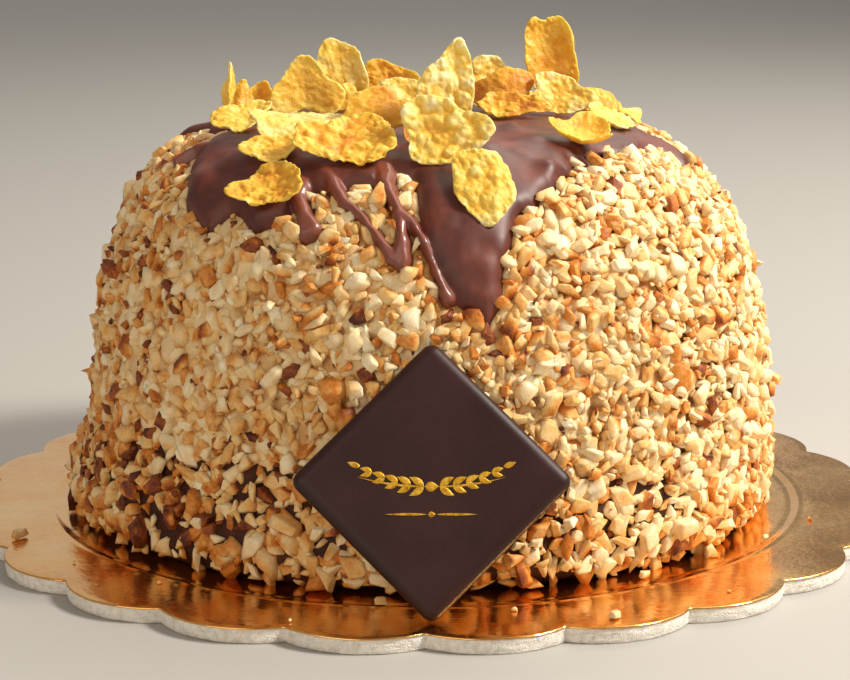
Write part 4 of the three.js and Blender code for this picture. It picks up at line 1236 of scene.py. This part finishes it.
def make_card():
    """The board's grey card: a cut side with fibres standing out, and a flat underside."""
    azimuth = board_azimuths()
    heights = np.linspace(0.0, BOARD_THICKNESS - FOIL_ROUND - 0.25, 12)
    rim = 1 - 0.15 / BOARD_RADIUS
    side = board_rings(np.full(len(heights), rim), heights, azimuth)
    flattened = side * [1, 1, 6]
    rough = 0.13 * soft_noise(flattened, 4, 94) + 0.1 * soft_noise(flattened, 1.3, 95)
    squeeze = -0.25 * (1 - heights / heights[-1]) ** 6
    side[..., :2] += unit(side[..., :2]) * (rough + squeeze[:, None] - 0.1)[..., None]
    under = board_rings([0.4, 0.8, 0.985], np.zeros(3), azimuth)
    top_height = BOARD_THICKNESS - CARD_UNDER_FOIL
    top = board_rings([0.985, 0.8, 0.4], np.full(3, top_height), azimuth)
    rings = np.concatenate([under, side, top])
    points, faces = turned_shell(rings, [0, 0, 0], [0, 0, top_height])
    make_piece("grey_card", points, faces, "grey_card", ["cake_board"])


def make_crumbs():
    """Loose chips of nut that fell on the board."""
    draw = np.random.default_rng(77)
    spots = np.array(BOARD_CRUMBS)
    count = len(spots)
    axes = np.broadcast_to(np.eye(3), (count, 3, 3))
    centres = np.column_stack([spots[:, :2], BOARD_THICKNESS + 0.27 * spots[:, 2]])
    points, normals, scorch = nut_chips(centres, axes, spots[:, 2], 0.1, np.zeros(count), draw)
    toast_and_shade = 0.14 + 0.3 * scorch
    make_piece("fallen_crumbs", points.reshape(-1, 3), chip_faces(count), "nuts_pale",
               (), {"toast_and_shade": toast_and_shade}, normals.reshape(-1, 3))


# ---- stage ----


def make_floor():
    mesh = bpy.data.meshes.new("studio_floor")
    signs = [(-1, -1), (1, -1), (1, 1), (-1, 1)]
    corners = [(x * FLOOR_SIZE, y * FLOOR_SIZE, -FLOOR_DROP) for x, y in signs]
    mesh.from_pydata(corners, [], [(0, 1, 2, 3)])
    material = bpy.data.materials.new("studio_floor")
    material.use_nodes = True
    feed(material.node_tree, material.node_tree.nodes["Principled BSDF"],
         {"Base Color": linear(180, 176, 170), "Roughness": 0.75})
    mesh.materials.append(material)
    floor = put_in_scene("studio_floor", mesh)


def add_lamp(name, azimuth, elevation, distance, size, watts, colour):
    """A square lamp that looks at the cake's middle, from an azimuth and an elevation."""
    azimuth, elevation = math.radians(azimuth), math.radians(elevation)
    lamp = bpy.data.lights.new(name, "AREA")
    lamp.size = size
    lamp.energy = watts
    lamp.color = colour
    holder = put_in_scene(name, lamp)
    holder.location = (
        distance * math.cos(elevation) * math.sin(azimuth),
        -distance * math.cos(elevation) * math.cos(azimuth),
        LAMPS_LOOK_AT + distance * math.sin(elevation),
    )
    holder.rotation_euler = (math.pi / 2 - elevation, 0, azimuth)


def make_studio():
    world = bpy.data.worlds.new("studio")
    bpy.context.scene.world = world
    world.use_nodes = True
    feed(world.node_tree, world.node_tree.nodes["Background"],
         {"Color": linear(240, 236, 230), "Strength": SKY_STRENGTH})
    for lamp in LAMPS:
        add_lamp(*lamp)


def make_camera():
    camera = bpy.data.cameras.new("camera")
    camera.lens = CAMERA_LENS
    camera.sensor_width = SENSOR_WIDTH
    camera.sensor_fit = "HORIZONTAL"
    camera.clip_start = 0.01
    holder = put_in_scene("camera", camera)
    holder.location = [value * MM for value in CAMERA_AT]
    holder.rotation_euler = (math.pi / 2 - CAMERA_PITCH, 0, 0)
    bpy.context.scene.camera = holder


# ---- the whole ----

make_camera()
make_floor()
make_studio()
bpy.context.scene.view_settings.view_transform = "Standard"

make_foil()
make_card()
make_layer()
make_dome()
make_nut_coat()
make_crumbs()
make_glaze()
make_plaque()
make_sprig()
for number, fields in enumerate(FLAKES):
    make_flake(dict(zip(FLAKE_FIELDS, fields)), number)
